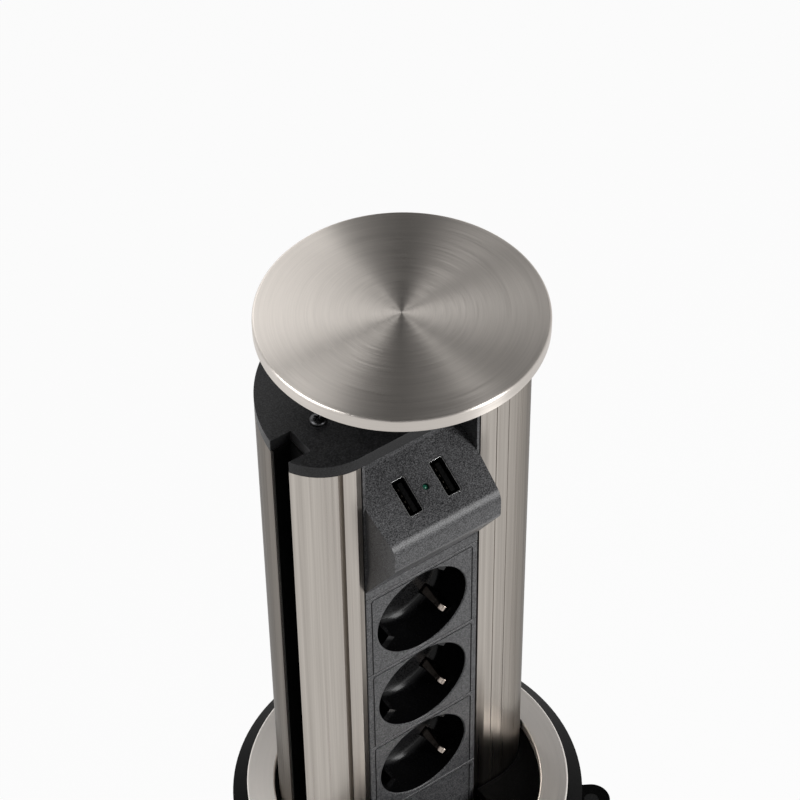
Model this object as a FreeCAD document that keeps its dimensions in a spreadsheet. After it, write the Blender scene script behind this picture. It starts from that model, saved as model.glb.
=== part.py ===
import FreeCAD, Part
import math
import os
import re

import Sketcher

# Pop-up power socket tower for a worktop, sizes in millimetres.
# The origin is on the tower's axis, in the plane of the worktop's top face.
# +Z points up out of the worktop and the sockets face -Y.

SIZES = {
    # Plan of the tower
    "tower_radius": 51.2,
    "front_flat": 18.5,
    "corner_radius": 23.44,
    "corner_offset": 30.46,
    "channel_half": 5.85,
    "channel_floor": 42.4,
    "profile_wall": 2.5,
    "liner_wall": 0.8,
    "liner_set_back": 1.0,
    "groove_x": 38.05,
    "groove_half": 0.85,
    "groove_depth": 3.0,
    "near_line_x": 26.95,
    "far_line_x": 32.2,
    "line_half": 0.2,
    "line_depth": 0.25,
    # Heights of the tower
    "profile_top": 225.55,
    "tower_below": 66.0,
    "cap_thickness": 5.1,
    "lid_gap": 30.65,
    # Lid
    "lid_radius": 50.2,
    "lid_thickness": 5.2,
    "lid_skin": 1.5,
    "lid_edge_round": 0.6,
    "column_radius": 13.0,
    "column_wall": 2.5,
    "column_waist": 1.4,
    "foot_radius": 17.0,
    "foot_thickness": 3.0,
    "foot_inset": 2.2,
    "foot_screw": 1.2,
    "foot_head": 2.4,
    "foot_bite": 2.5,
    "pilot_over": 0.5,
    # Socket strip
    "strip_x": -4.5,
    "strip_half": 24.75,
    "strip_recess": 1.2,
    "lip_gap": 0.6,
    "lip_spread": 2.85,
    "shoulder_over": 2.75,
    "shoulder_thickness": 2.2,
    "strip_top": 158.0,
    "spacer_height": 4.65,
    "module_pitch": 43.5,
    "module_gap": 0.3,
    "seam_depth": 0.5,
    "seam_width": 0.5,
    "seam_inset_x": 2.2,
    "seam_inset_z": 1.2,
    # Sockets
    "well_radius": 19.75,
    "well_depth": 17.0,
    "well_wall": 1.75,
    "floor_thickness": 2.0,
    "floor_round": 4.5,
    "rim_round": 0.5,
    "pin_spacing": 19.0,
    "pin_hole_radius": 2.7,
    "key_width": 3.6,
    "key_height": 4.0,
    "key_start": 4.0,
    "clip_width": 4.0,
    "clip_thickness": 0.8,
    "clip_start": 4.0,
    "clip_bulge": 2.4,
    "shutter_thickness": 1.8,
    "shutter_gap": 0.4,
    "shutter_radius": 13.6,
    "pivot_radius": 2.2,
    "pivot_play": 0.06,
    "carrier_depth": 12.6,
    "carrier_half": 20.9,
    "contact_radius": 3.7,
    "contact_wall": 1.0,
    "busbar_width": 8.0,
    "busbar_thickness": 1.0,
    "busbar_gap": 0.4,
    "busbar_over": 12.0,
    "boss_radius": 2.6,
    "module_screw": 1.1,
    "module_head": 1.4,
    "module_bite": 6.0,
    "thread_slack": 0.05,
    "post_inset_x": 2.4,
    "post_inset_z": 2.9,
    "hub_wall": 2.4,
    "blade_width": 8.4,
    "clip_nose": 2.0,
    "block_drop": 15.0,
    "block_height": 25.0,
    "block_half": 17.0,
    "block_back": 3.0,
    "terminal_pitch": 11.0,
    "terminal_bore": 2.5,
    "terminal_depth": 14.0,
    # Charger
    "wedge_drop": 17.35,
    "wedge_back": 6.9,
    "wedge_front": 33.0,
    "wedge_slope": 29.9,
    "wedge_lip": 10.5,
    "wedge_taper": 2.0,
    "wedge_wall": 2.0,
    "cheek_thickness": 1.0,
    "port_width": 6.2,
    "port_length": 14.4,
    "port_spacing": 16.2,
    "port_drop": 14.8,
    "port_depth": 13.0,
    "port_fit": 0.1,
    "port_sink": 0.3,
    "shell_wall": 0.3,
    "shell_back": 0.6,
    "tongue_root": 3.0,
    "tongue_gap": 1.2,
    "tongue_aside": 0.3,
    "led_radius": 1.2,
    "led_sink": 0.3,
    "wedge_floor": 1.2,
    "board_thickness": 1.6,
    "board_margin": 4.0,
    "board_back": 8.0,
    "board_half": 20.0,
    "board_base": 8.0,
    "transformer_left": 12.0,
    "transformer_right": 8.0,
    "transformer_low": 14.0,
    "transformer_high": 36.0,
    "transformer_depth": 16.0,
    "capacitor_radius": 5.0,
    "capacitor_x": 10.0,
    "capacitor_drop": 17.55,
    "capacitor_length": 18.0,
    # Flange and its sleeve
    "flange_over": 13.9,
    "flange_edge": 3.0,
    "spigot_set_in": 8.4,
    "spigot_root": 0.8,
    "spigot_depth": 8.0,
    "sleeve_wall": 3.4,
    "slide_gap": 1.4,
    "sleeve_depth": 55.0,
    "ledge_over": 1.4,
    "ring_seat": 5.0,
    "ring_set_in": 5.9,
    "ring_over": 0.4,
    "ring_height": 4.4,
    "ring_bevel": 0.7,
    "ring_fall": 0.7,
    "flange_rise": 2.6,
    "seal_thickness": 1.0,
    "seal_inset": 0.5,
    "seal_play": 1.1,
    "guide_thickness": 4.0,
    "guide_play": 0.4,
    "guide_screw_x": 20.0,
    "guide_screw_y": 45.4,
    "guide_sink": 2.0,
    "key_root": 1.4,
    "pad_length": 6.0,
    "pad_inset": 1.0,
    "seat_gap": 0.3,
    "collar_height": 5.0,
    # Clamp below the worktop
    "clamp_top": 16.5,
    "clamp_thickness": 7.0,
    "clamp_outer": 63.0,
    "clamp_angle": -31.0,
    "lobe_reach": 75.0,
    "lobe_radius": 7.5,
    "lug_height": 3.0,
    "lug_root": 2.0,
    "lug_reach": 3.0,
    "notch_play": 1.0,
    "unlock_angle": 40.0,
    "lug_width": 16.0,
    "lug_pitch": 12.0,
    "thumb_radius": 3.0,
    "thumb_knob": 7.0,
    "thumb_free": 13.0,
    "knob_height": 9.0,
    "thread_play": 0.1,
    "pad_height": 2.0,
    "pad_sink": 0.2,
    # Screws and cable entry
    "screw_radius": 1.6,
    "screw_head": 3.0,
    "head_height": 1.8,
    "slot_depth": 1.0,
    "slot_half": 0.35,
    "slot_reach": 0.6,
    "hole_play": 0.15,
    "screw_length": 12.0,
    "screw_side_x": 32.5,
    "screw_side_y": 4.0,
    "screw_back_x": 29.6,
    "screw_back_y": 35.2,
    "post_radius": 4.0,
    "web_half": 1.0,
    "gland_y": 22.0,
    "gland_radius": 10.0,
    "gland_bore": 4.6,
    "gland_rim": 2.5,
    "gland_rim_height": 5.0,
    "gland_neck_height": 8.0,
    "gland_tail_length": 11.0,
    "gland_tail_step": 1.5,
    "gland_cap_length": 17.0,
    "gland_cap_over": 1.0,
    "nut_rim": 3.0,
    "nut_height": 5.0,
}

DERIVED = {
    "sleeve_bore": "tower_radius + slide_gap",
    "sleeve_outer": "sleeve_bore + sleeve_wall",
    "ledge_bore": "sleeve_bore + ledge_over",
    "ring_inner": "sleeve_bore + ring_over",
    "flange_radius": "sleeve_outer + flange_over",
    "ring_outer": "flange_radius - ring_set_in",
    "spigot_radius": "flange_radius - spigot_set_in",
    "lid_base": "profile_top + cap_thickness + lid_gap",
    "strip_front": "-(front_flat - strip_recess)",
    "shoulder_front": "-(front_flat - profile_wall) + seat_gap",
    "shoulder_back": "shoulder_front + shoulder_thickness",
    "first_top": "strip_top - spacer_height",
    "blank_top": "first_top - 3 * module_pitch",
    "well_floor": "strip_front + well_depth",
    "floor_back": "well_floor + floor_thickness",
    "shutter_front": "floor_back + shutter_gap",
    "carrier_front": "shutter_front + shutter_thickness + shutter_gap",
    "carrier_back": "carrier_front + carrier_depth",
    "pin_reach": "pin_spacing / 2 * 0.7071067811865476",
    "ring_top": "ring_seat + ring_height",
    "clamp_bottom": "clamp_top + clamp_thickness",
    "lug_top": "clamp_bottom + seat_gap",
    "collar_top": "sleeve_depth + seat_gap",
    "wedge_top": "profile_top - wedge_drop",
    "usb_base": "strip_top + module_gap",
    "usb_roof": "profile_top - module_gap",
    "wedge_inner": "-(wedge_back - wedge_wall)",
}

os.makedirs("parts", exist_ok=True)
doc = FreeCAD.newDocument("power_socket_tower")
sheet = doc.addObject("Spreadsheet::Sheet", "Sheet")
NODES = []


def expression(text):
    """Write a formula of plain size names as one that reads the sheet's cells."""
    names = re.compile(r"\b([a-z]+_[a-z_]+)\b")
    return names.sub(r"Sheet.\1", text)


def fill_sheet():
    """Put each size, and each size worked out from others, in a named cell."""
    row = 1
    for alias, size in SIZES.items():
        sheet.set(f"A{row}", alias)
        sheet.set(f"B{row}", str(size))
        sheet.setAlias(f"B{row}", alias)
        row += 1
    doc.recompute()
    for alias, formula in DERIVED.items():
        sheet.set(f"A{row}", alias)
        sheet.set(f"B{row}", "=" + formula)
        sheet.setAlias(f"B{row}", alias)
        doc.recompute()
        row += 1


def value(text):
    """The number that a formula of size names gives now."""
    known = re.sub(r"\b([a-z]+_[a-z_]+)\b", lambda found: repr(float(sheet.get(found.group(1)))), text)
    scratch = doc.getObject("Scratch") or doc.addObject("Spreadsheet::Sheet", "Scratch")
    scratch.set("A1", "=" + known)
    scratch.recompute()
    return float(scratch.get("A1"))


def node(part, name):
    """Label a finished sub-part, which names its file."""
    part.Label = name
    NODES.append(part)
    return part


def place(part, x="0", y="0", z="0", rotation=None):
    """Bind a part's position to size formulas and turn it."""
    if rotation:
        part.Placement = FreeCAD.Placement(FreeCAD.Vector(0, 0, 0), rotation)
    for axis, text in zip("xyz", (x, y, z)):
        part.setExpression(f".Placement.Base.{axis}", expression(text))
    return part


def box(name, across, along, up):
    """A box between two formulas on each axis."""
    part = doc.addObject("Part::Box", name)
    for side, (low, high) in zip(("Length", "Width", "Height"), (across, along, up)):
        part.setExpression(side, expression(f"({high}) - ({low})"))
    return place(part, across[0], along[0], up[0])


def about(centre, half):
    """The low and high of a span, from its centre and half its width."""
    return f"({centre}) - ({half})", f"({centre}) + ({half})"


def sided(side, near, far):
    """A span in X on one side of the tower's axis, from a near to a far distance."""
    if side > 0:
        return f"{near}", f"{far}"
    return f"-({far})", f"-({near})"


def turn(axis, angle):
    """A rotation about a named axis, in degrees."""
    return FreeCAD.Rotation(FreeCAD.Vector(*[float(axis == letter) for letter in "xyz"]), angle)


def rod(name, radius, centre, up):
    """An upright cylinder between two heights."""
    part = doc.addObject("Part::Cylinder", name)
    part.setExpression("Radius", expression(radius))
    part.setExpression("Height", expression(f"({up[1]}) - ({up[0]})"))
    return place(part, centre[0], centre[1], up[0])


def peg(name, radius, centre, along):
    """A cylinder that lies along Y, at a centre in X and Z."""
    part = doc.addObject("Part::Cylinder", name)
    part.setExpression("Radius", expression(radius))
    part.setExpression("Height", expression(f"({along[1]}) - ({along[0]})"))
    return place(part, centre[0], along[0], centre[1], turn("x", -90))


def round_peg(name, radius, centre, along, rounding):
    """A peg whose far end has a rounded edge."""
    part = doc.addObject("Part::Fillet", name)
    part.Base = peg(name + "_sharp", radius, centre, along)
    doc.recompute()
    part.Edges = [(far_circle(part.Base.Shape), value(rounding), value(rounding))]
    return part


def far_circle(shape):
    """The number of the circular edge that lies furthest along Y."""
    depths = [edge.BoundBox.YMin for edge in shape.Edges]
    return depths.index(max(depths)) + 1


def fuse(name, *parts):
    """Join touching or overlapping shapes into one."""
    part = doc.addObject("Part::MultiFuse", name)
    part.Shapes = list(parts)
    part.Refine = True
    return part


def cut(name, base, *tools):
    """Take shapes away from a base."""
    part = doc.addObject("Part::Cut", name)
    part.Base = base
    part.Tool = tools[0] if len(tools) == 1 else fuse(name + "_tools", *tools)
    part.Refine = True
    return part


def common(name, first, second):
    """Keep what two shapes share."""
    part = doc.addObject("Part::Common", name)
    part.Base = first
    part.Tool = second
    return part


def group(name, *parts):
    """Several separate solids kept as one sub-part."""
    part = doc.addObject("Part::Compound", name)
    part.Links = list(parts)
    return part


def bound(sketch, kind, elements, number, text):
    """Add a dimension to a sketch and tie it to a formula."""
    index = sketch.addConstraint(Sketcher.Constraint(kind, *elements, number))
    sketch.setExpression(f"Constraints[{index}]", expression(text))


def draw_outline(sketch, corners):
    """Draw a closed outline of straight lines whose corners follow formulas."""
    spots = [FreeCAD.Vector(value(x), value(y), 0) for x, y in corners]
    count = len(corners)
    for index in range(count):
        sketch.addGeometry(Part.LineSegment(spots[index], spots[(index + 1) % count]), False)
    for index in range(count):
        sketch.addConstraint(Sketcher.Constraint("Coincident", index, 2, (index + 1) % count, 1))
    for index, (x, y) in enumerate(corners):
        bound(sketch, "DistanceX", (-1, 1, index, 1), spots[index].x, x)
        bound(sketch, "DistanceY", (-1, 1, index, 1), spots[index].y, y)
    return sketch


def body_sketch(body, role, name):
    """A sketch on one of a body's own origin planes."""
    sketch = body.newObject("Sketcher::SketchObject", name)
    plane = [item for item in body.Origin.OriginFeatures if item.Role == role][0]
    sketch.AttachmentSupport = [(plane, "")]
    sketch.MapMode = "FlatFace"
    return sketch


def turned(name, corners):
    """A body turned about the tower's axis, from corners given as radius and height."""
    body = doc.addObject("PartDesign::Body", name)
    sketch = draw_outline(body_sketch(body, "XZ_Plane", name + "_section"), corners)
    turning = body.newObject("PartDesign::Revolution", name + "_turning")
    turning.Profile = sketch
    turning.ReferenceAxis = (sketch, ["V_Axis"])
    turning.Angle = 360
    body.Tip = turning
    return body


def extruded(name, sketch, up):
    """A flat sketch raised between two heights."""
    part = doc.addObject("Part::Extrusion", name)
    part.Base = sketch
    part.DirMode = "Normal"
    part.Solid = True
    part.setExpression("LengthFwd", expression(f"({up[1]}) - ({up[0]})"))
    return place(part, z=up[0])


def plan_sketch(name, grow):
    """The tower's plan, grown all round by a formula: flat front, round corners, side channels."""
    sketch = doc.addObject("Sketcher::SketchObject", name)
    radius = value(f"tower_radius + ({grow})")
    flat = value(f"front_flat + ({grow})")
    corner = value(f"corner_radius + ({grow})")
    offset = value("corner_offset")
    half = value(f"channel_half - ({grow})")
    floor = value(f"channel_floor + ({grow})")
    edge = offset + math.sqrt(corner**2 - (corner - flat + half) ** 2)
    back = math.sqrt(radius**2 - half**2)
    start = math.atan2(flat - corner - half, edge - offset)
    upward = FreeCAD.Vector(0, 0, 1)
    right = [(-offset, -flat), (offset, -flat), (edge, -half), (floor, -half), (floor, half), (back, half)]
    corners = right + [(-x, y) for x, y in reversed(right[2:])]
    middle = corner - flat
    arcs = {
        1: (FreeCAD.Vector(offset, middle, 0), corner, -math.pi / 2, start),
        5: (FreeCAD.Vector(0, 0, 0), radius, math.atan2(half, back), math.pi - math.atan2(half, back)),
        9: (FreeCAD.Vector(-offset, middle, 0), corner, math.pi - start, 1.5 * math.pi),
    }
    for index in range(10):
        if index in arcs:
            centre, size, low, high = arcs[index]
            sketch.addGeometry(Part.ArcOfCircle(Part.Circle(centre, upward, size), low, high), False)
        else:
            ends = [FreeCAD.Vector(*corners[step % 10], 0) for step in (index, index + 1)]
            sketch.addGeometry(Part.LineSegment(*ends), False)
    for index in range(10):
        sketch.addConstraint(Sketcher.Constraint("Coincident", index, 2, (index + 1) % 10, 1))
    for index in (2, 4, 6, 8):
        sketch.addConstraint(Sketcher.Constraint("Horizontal", index))
    for index in (3, 7):
        sketch.addConstraint(Sketcher.Constraint("Vertical", index))
    sketch.addConstraint(Sketcher.Constraint("Coincident", 5, 3, -1, 1))
    for point in (1, 2):
        bound(sketch, "DistanceY", (-1, 1, 0, point), -flat, f"-(front_flat + ({grow}))")
    for side, line, point, arc in ((1, 0, 2, 1), (-1, 0, 1, 9)):
        bound(sketch, "DistanceX", (-1, 1, line, point), side * offset, f"{side} * corner_offset")
        bound(sketch, "DistanceX", (-1, 1, arc, 3), side * offset, f"{side} * corner_offset")
        bound(sketch, "Radius", (arc,), corner, f"corner_radius + ({grow})")
    bound(sketch, "Radius", (5,), radius, f"tower_radius + ({grow})")
    for line, side in ((2, -1), (8, -1), (4, 1), (6, 1)):
        bound(sketch, "DistanceY", (-1, 1, line, 1), side * half, f"{side} * (channel_half - ({grow}))")
    for line, side in ((3, 1), (7, -1)):
        bound(sketch, "DistanceX", (-1, 1, line, 1), side * floor, f"{side} * (channel_floor + ({grow}))")
    return sketch


def tower_block(name, up, grow="0"):
    """The tower's plan raised between two heights."""
    return extruded(name, plan_sketch(name + "_plan", grow), up)


def flat_sketch(name, corners, rotation=None):
    """A free sketch of straight lines, in the XY plane or turned from it."""
    sketch = draw_outline(doc.addObject("Sketcher::SketchObject", name), corners)
    if rotation:
        sketch.Placement = FreeCAD.Placement(FreeCAD.Vector(0, 0, 0), rotation)
    return sketch


def side_block(name, corners, half):
    """A side view in Y and Z, made as wide as the strip on both sides of its centre."""
    standing = FreeCAD.Rotation(FreeCAD.Vector(1, 1, 1), 120)
    part = doc.addObject("Part::Extrusion", name)
    part.Base = flat_sketch(name + "_side", corners, standing)
    part.DirMode = "Normal"
    part.Solid = True
    part.Symmetric = True
    part.setExpression("LengthFwd", expression(f"2 * ({half})"))
    return place(part, x="strip_x")


def screw(name, centre, head_base, length="screw_length", head="screw_head", shank="screw_radius"):
    """A cross-head screw that points down, with its head on the face at head_base."""
    head_top = f"({head_base}) + head_height"
    blank = fuse(
        name + "_blank",
        rod(name + "_head", head, centre, (head_base, head_top)),
        rod(name + "_shank", shank, centre, (f"({head_base}) - ({length})", head_base)),
    )
    depth = (f"{head_top} - slot_depth", f"{head_top} + 1")
    arm = f"{head} * slot_reach"
    lengthways = box(name + "_slot_x", about(centre[0], arm), about(centre[1], "slot_half"), depth)
    crossways = box(name + "_slot_y", about(centre[0], "slot_half"), about(centre[1], arm), depth)
    return cut(name, blank, lengthways, crossways)


def flipped(name, part, height):
    """A copy of a screw turned over about a height, so that it points up."""
    copy = doc.addObject("Part::Mirroring", name)
    copy.Source = part
    copy.Normal = FreeCAD.Vector(0, 0, 1)
    copy.setExpression(".Base.z", expression(height))
    return copy


CORNER_SCREWS = [
    ("-screw_side_x", "screw_side_y"),
    ("screw_side_x", "screw_side_y"),
    ("-screw_back_x", "screw_back_y"),
    ("screw_back_x", "screw_back_y"),
]

fill_sheet()


# Flange, its trim ring, seal and guides

def guide_screw_spot(side):
    """Where one of the two guide plate screws stands, as two formulas."""
    return f"{side} * guide_screw_x", "-guide_screw_y"


def radial_box(name, heading, near, length, width, up):
    """A box that points outwards from the axis at a heading, from a near radius."""
    part = doc.addObject("Part::Box", name)
    part.setExpression("Length", expression(length))
    part.setExpression("Width", expression(width))
    part.setExpression("Height", expression(f"({up[1]}) - ({up[0]})"))
    x = f"({near}) * cos({heading}) + ({width}) / 2 * sin({heading})"
    y = f"({near}) * sin({heading}) - ({width}) / 2 * cos({heading})"
    return place(part, x, y, up[0], turn("z", value(heading)))


def make_flange_body():
    """The black flange: rim, spigot, sleeve, screw bosses and the clamp ring's lugs."""
    section = [
        ("sleeve_bore", "guide_thickness - sleeve_depth"),
        ("ledge_bore", "guide_thickness - sleeve_depth"),
        ("ledge_bore", "-sleeve_depth"),
        ("sleeve_outer", "-sleeve_depth"),
        ("sleeve_outer", "-spigot_depth"),
        ("spigot_radius", "-spigot_depth"),
        ("spigot_radius", "0"),
        ("spigot_radius + spigot_root", "seal_thickness"),
        ("flange_radius", "seal_thickness"),
        ("flange_radius", "flange_edge"),
        ("ring_outer + seat_gap", "ring_seat + flange_rise"),
        ("ring_outer + seat_gap", "ring_seat"),
        ("ledge_bore", "ring_seat"),
        ("ledge_bore", "0"),
        ("sleeve_bore", "0"),
    ]
    additions = []
    bores = []
    for side in (-1, 1):
        spot = guide_screw_spot(side)
        up = ("guide_thickness - sleeve_depth", "0")
        additions.append(rod(f"guide_boss_{side + 1}", "post_radius", spot, up))
        bores.append(rod(f"guide_pilot_{side + 1}", "screw_radius", spot, ("-sleeve_depth", "1")))
    for level in range(3):
        top = f"-(lug_top + {level} * lug_pitch)"
        for index in range(3):
            heading = f"clamp_angle + {60 + 120 * index}"
            additions.append(radial_box(f"lug_{level}_{index}", heading, "sleeve_outer - lug_root",
                                        "lug_root + lug_reach", "lug_width", (f"{top} - lug_height", top)))
    blank = fuse("flange_blank", turned("flange_turned", section), *additions)
    node(cut("flange_body", blank, *bores), "flange_body")


def make_trim_ring():
    """The steel ring on the flange, with a bevel round its bore."""
    section = [
        ("ring_inner", "ring_seat"),
        ("ring_outer", "ring_seat"),
        ("ring_outer", "ring_top - 1"),
        ("ring_outer - 1", "ring_top - 0.4"),
        ("ring_inner + ring_bevel", "ring_top"),
        ("ring_inner", "ring_top - ring_fall"),
    ]
    node(turned("trim_ring", section), "trim_ring")


def make_worktop_seal():
    """The rubber ring that lies on the worktop."""
    section = [
        ("spigot_radius + seal_play", "0"),
        ("flange_radius - seal_inset", "0"),
        ("flange_radius - seal_inset", "seal_thickness"),
        ("spigot_radius + seal_play", "seal_thickness"),
    ]
    node(turned("worktop_seal", section), "worktop_seal")


def make_guide_plate(name, low, high, sink):
    """A plate that steers the tower with two keys and lets the charger's wedge through."""
    disc = rod(name + "_disc", "ledge_bore - seat_gap", ("0", "0"), (low, high))
    through = (f"({low}) - 1", f"({high}) + 1")
    window = tower_block(name + "_window", through, "guide_play")
    across = about("0", "tower_radius + guide_play")
    middle = box(name + "_middle", across, about("0", "channel_half + 1"), through)
    notch = box(name + "_notch", about("strip_x", "strip_half + guide_play"),
                ("-(wedge_front + guide_play)", "0"), through)
    holes = []
    for side in (-1, 1):
        spot = guide_screw_spot(side)
        holes.append(rod(f"{name}_hole_{side + 1}", "screw_radius + hole_play", spot, through))
        holes.append(rod(f"{name}_sink_{side + 1}", "screw_head + seat_gap", spot, sink))
    plate = cut(name + "_plate", disc, window, middle, notch, *holes)
    keys = []
    for side in (-1, 1):
        across = sided(side, "channel_floor + liner_wall + guide_play", "tower_radius + key_root")
        along = about("0", "channel_half - liner_wall - guide_play")
        keys.append(box(f"{name}_key_{side + 1}", across, along, (low, high)))
    node(fuse(name, plate, *keys), name)


def make_guide_plates():
    """One guide plate at each end of the sleeve, with its screw heads sunk outwards."""
    make_guide_plate("upper_guide_plate", "0", "guide_thickness",
                     ("guide_thickness - guide_sink", "guide_thickness + 1"))
    make_guide_plate("lower_guide_plate", "-sleeve_depth", "guide_thickness - sleeve_depth",
                     ("-(sleeve_depth + 1)", "guide_sink - sleeve_depth"))


def make_guide_screws():
    """Two screws down into the bosses and two up into their lower ends."""
    screws = []
    for side in (-1, 1):
        centre = guide_screw_spot(side)
        top = screw(f"guide_screw_{side + 1}", centre, "guide_thickness - guide_sink")
        low = screw(f"guide_screw_low_{side + 1}", centre, "sleeve_depth - guide_sink")
        screws.append(top)
        screws.append(flipped(f"guide_screw_under_{side + 1}", low, "0"))
    node(group("guide_screws", *screws), "guide_screws")


def make_brake_pads():
    """A felt pad under each key rubs on the channel's lining and holds the tower at any height."""
    for side, name in ((-1, "brake_pad_left"), (1, "brake_pad_right")):
        across = sided(side, "channel_floor + liner_wall + seat_gap", "tower_radius")
        along = about("0", "channel_half - liner_wall - pad_inset")
        node(box(name, across, along, ("-pad_length", "0")), name)


# Clamp ring and its thumb screws below the worktop

def lobe_spot(index):
    """Where one clamp screw stands, as two formulas."""
    heading = f"(clamp_angle + {120 * index})"
    return f"lobe_reach * cos({heading})", f"lobe_reach * sin({heading})"


def make_clamp_ring():
    """The ring that hooks on the sleeve's lugs, with a threaded lobe for each clamp screw."""
    span = ("-clamp_bottom", "-clamp_top")
    cleared = ("-(clamp_bottom + 1)", "-(clamp_top - 1)")
    solids = [rod("clamp_disc", "clamp_outer", ("0", "0"), span)]
    holes = [rod("clamp_hole", "sleeve_outer + seat_gap", ("0", "0"), cleared)]
    for index in range(3):
        spot = lobe_spot(index)
        heading = f"clamp_angle + {120 * index}"
        arm = radial_box(f"clamp_arm_{index}", heading, "sleeve_outer + lug_root",
                         "lobe_reach - sleeve_outer - lug_root", "2 * lobe_radius", span)
        notch = radial_box(f"clamp_notch_{index}", f"{heading} + 60 - unlock_angle",
                           "sleeve_outer - lug_root", "lug_root + lug_reach + notch_play",
                           "lug_width + 2 * notch_play", cleared)
        solids.append(rod(f"clamp_lobe_{index}", "lobe_radius", spot, span))
        solids.append(arm)
        holes.append(rod(f"clamp_thread_{index}", "thumb_radius + thread_play", spot, cleared))
        holes.append(notch)
    node(cut("clamp_ring", fuse("clamp_blank", *solids), *holes), "clamp_ring")


def make_clamp_screws():
    """A thumb screw and its pressure pad in each lobe, turned right back."""
    for index in range(3):
        spot = lobe_spot(index)
        pad_low, pad_top = "-(clamp_top + pad_sink + pad_height)", "-(clamp_top + pad_sink)"
        knob_top = "-(clamp_bottom + thumb_free)"
        label = f"clamp_screw_{index + 1}"
        shank = rod(label + "_shank", "thumb_radius", spot, (f"{knob_top} - 1", pad_low))
        knob = rod(label + "_knob", "thumb_knob", spot, (f"{knob_top} - knob_height", knob_top))
        node(fuse(label, shank, knob), label)
        label = f"clamp_pad_{index + 1}"
        node(rod(label, "thumb_radius", spot, (pad_low, pad_top)), label)


# Tower profile, caps and lid

def make_tower_profile():
    """The aluminium section: a plan with side channels, a slit front and screw tracks inside."""
    span = ("-tower_below", "profile_top")
    longer = ("-(tower_below + 1)", "profile_top + 1")
    outside = tower_block("profile_outside", span)
    inside = tower_block("profile_inside", longer, "-profile_wall")
    opening = extruded("profile_opening", flat_sketch("profile_opening_plan", [
        ("strip_x - strip_half - lip_gap - lip_spread", "-(front_flat + 1)"),
        ("strip_x + strip_half + lip_gap + lip_spread", "-(front_flat + 1)"),
        ("strip_x + strip_half + lip_gap + lip_spread", "-front_flat"),
        ("strip_x + strip_half + lip_gap", "strip_front"),
        ("strip_x + strip_half + lip_gap", "-(front_flat - profile_wall - 1)"),
        ("strip_x - strip_half - lip_gap", "-(front_flat - profile_wall - 1)"),
        ("strip_x - strip_half - lip_gap", "strip_front"),
        ("strip_x - strip_half - lip_gap - lip_spread", "-front_flat"),
    ]), longer)
    outwards = "-(front_flat + 1)"
    line_depth = (outwards, "-(front_flat - line_depth)")
    grooves = [
        box("profile_groove", about("-groove_x", "groove_half"),
            (outwards, "-(front_flat - groove_depth)"), longer),
        box("profile_line_near", about("near_line_x", "line_half"), line_depth, longer),
        box("profile_line_far", about("far_line_x", "line_half"), line_depth, longer),
    ]
    shell = cut("profile_shell", outside, inside, opening, *grooves)
    tracks, bores = [], []
    for index, (x, y) in enumerate(CORNER_SCREWS):
        tracks.append(rod(f"profile_track_{index}", "post_radius", (x, y), span))
        bores.append(rod(f"profile_bore_{index}", "screw_radius", (x, y), longer))
    for side in (-1, 1):
        across = sided(side, "screw_side_x", "channel_floor - profile_wall / 2")
        tracks.append(box(f"profile_web_{side + 1}", across, about("screw_side_y", "web_half"), span))
    node(cut("tower_profile", fuse("profile_joined", shell, *tracks), *bores), "tower_profile")


def make_channel_liners():
    """A black lining in each side channel, open outwards."""
    span = ("-tower_below", "profile_top")
    longer = ("-(tower_below + 1)", "profile_top + 1")
    for side, name in ((-1, "channel_liner_left"), (1, "channel_liner_right")):
        far = "tower_radius - liner_set_back"
        block = box(name + "_block", sided(side, "channel_floor", far), about("0", "channel_half"), span)
        hollow = sided(side, "channel_floor + liner_wall", f"{far} + 1")
        space = box(name + "_space", hollow, about("0", "channel_half - liner_wall"), longer)
        node(cut(name, block, space), name)


def foot_spot(index):
    """Where one of a column foot's three screws stands, as two formulas."""
    reach = "(foot_radius - foot_inset)"
    return f"{reach} * cos({120 * index})", f"{reach} * sin({120 * index})"


def make_end_caps():
    """The plates that close the profile at both ends, with their screws."""
    cap_top = "profile_top + cap_thickness"
    cap_bottom = "tower_below + cap_thickness"
    above = ("profile_top - 1", f"{cap_top} + 1")
    below = (f"-({cap_bottom} + 1)", "1 - tower_below")
    top = tower_block("top_cap_plate", ("profile_top", cap_top))
    bottom = tower_block("bottom_cap_plate", (f"-({cap_bottom})", "-tower_below"))
    bottom_holes = [rod("bottom_gland_hole", "gland_radius + thread_play", ("0", "gland_y"), below)]
    top_holes, top_screws, bottom_screws = [], [], []
    for index, spot in enumerate(CORNER_SCREWS):
        top_holes.append(rod(f"top_hole_{index}", "screw_radius + hole_play", spot, above))
        bottom_holes.append(rod(f"bottom_hole_{index}", "screw_radius + hole_play", spot, below))
        top_screws.append(screw(f"top_screw_{index}", spot, cap_top))
        blank = screw(f"bottom_screw_blank_{index}", spot, cap_bottom)
        bottom_screws.append(flipped(f"bottom_screw_{index}", blank, "0"))
    for index in range(3):
        pilot = (f"{cap_top} - foot_bite - pilot_over", f"{cap_top} + 1")
        top_holes.append(rod(f"top_foot_hole_{index}", "foot_screw", foot_spot(index), pilot))
    node(cut("top_end_cap", top, *top_holes), "top_end_cap")
    node(group("top_cap_screws", *top_screws), "top_cap_screws")
    node(cut("bottom_end_cap", bottom, *bottom_holes), "bottom_end_cap")
    node(group("bottom_cap_screws", *bottom_screws), "bottom_cap_screws")


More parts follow.
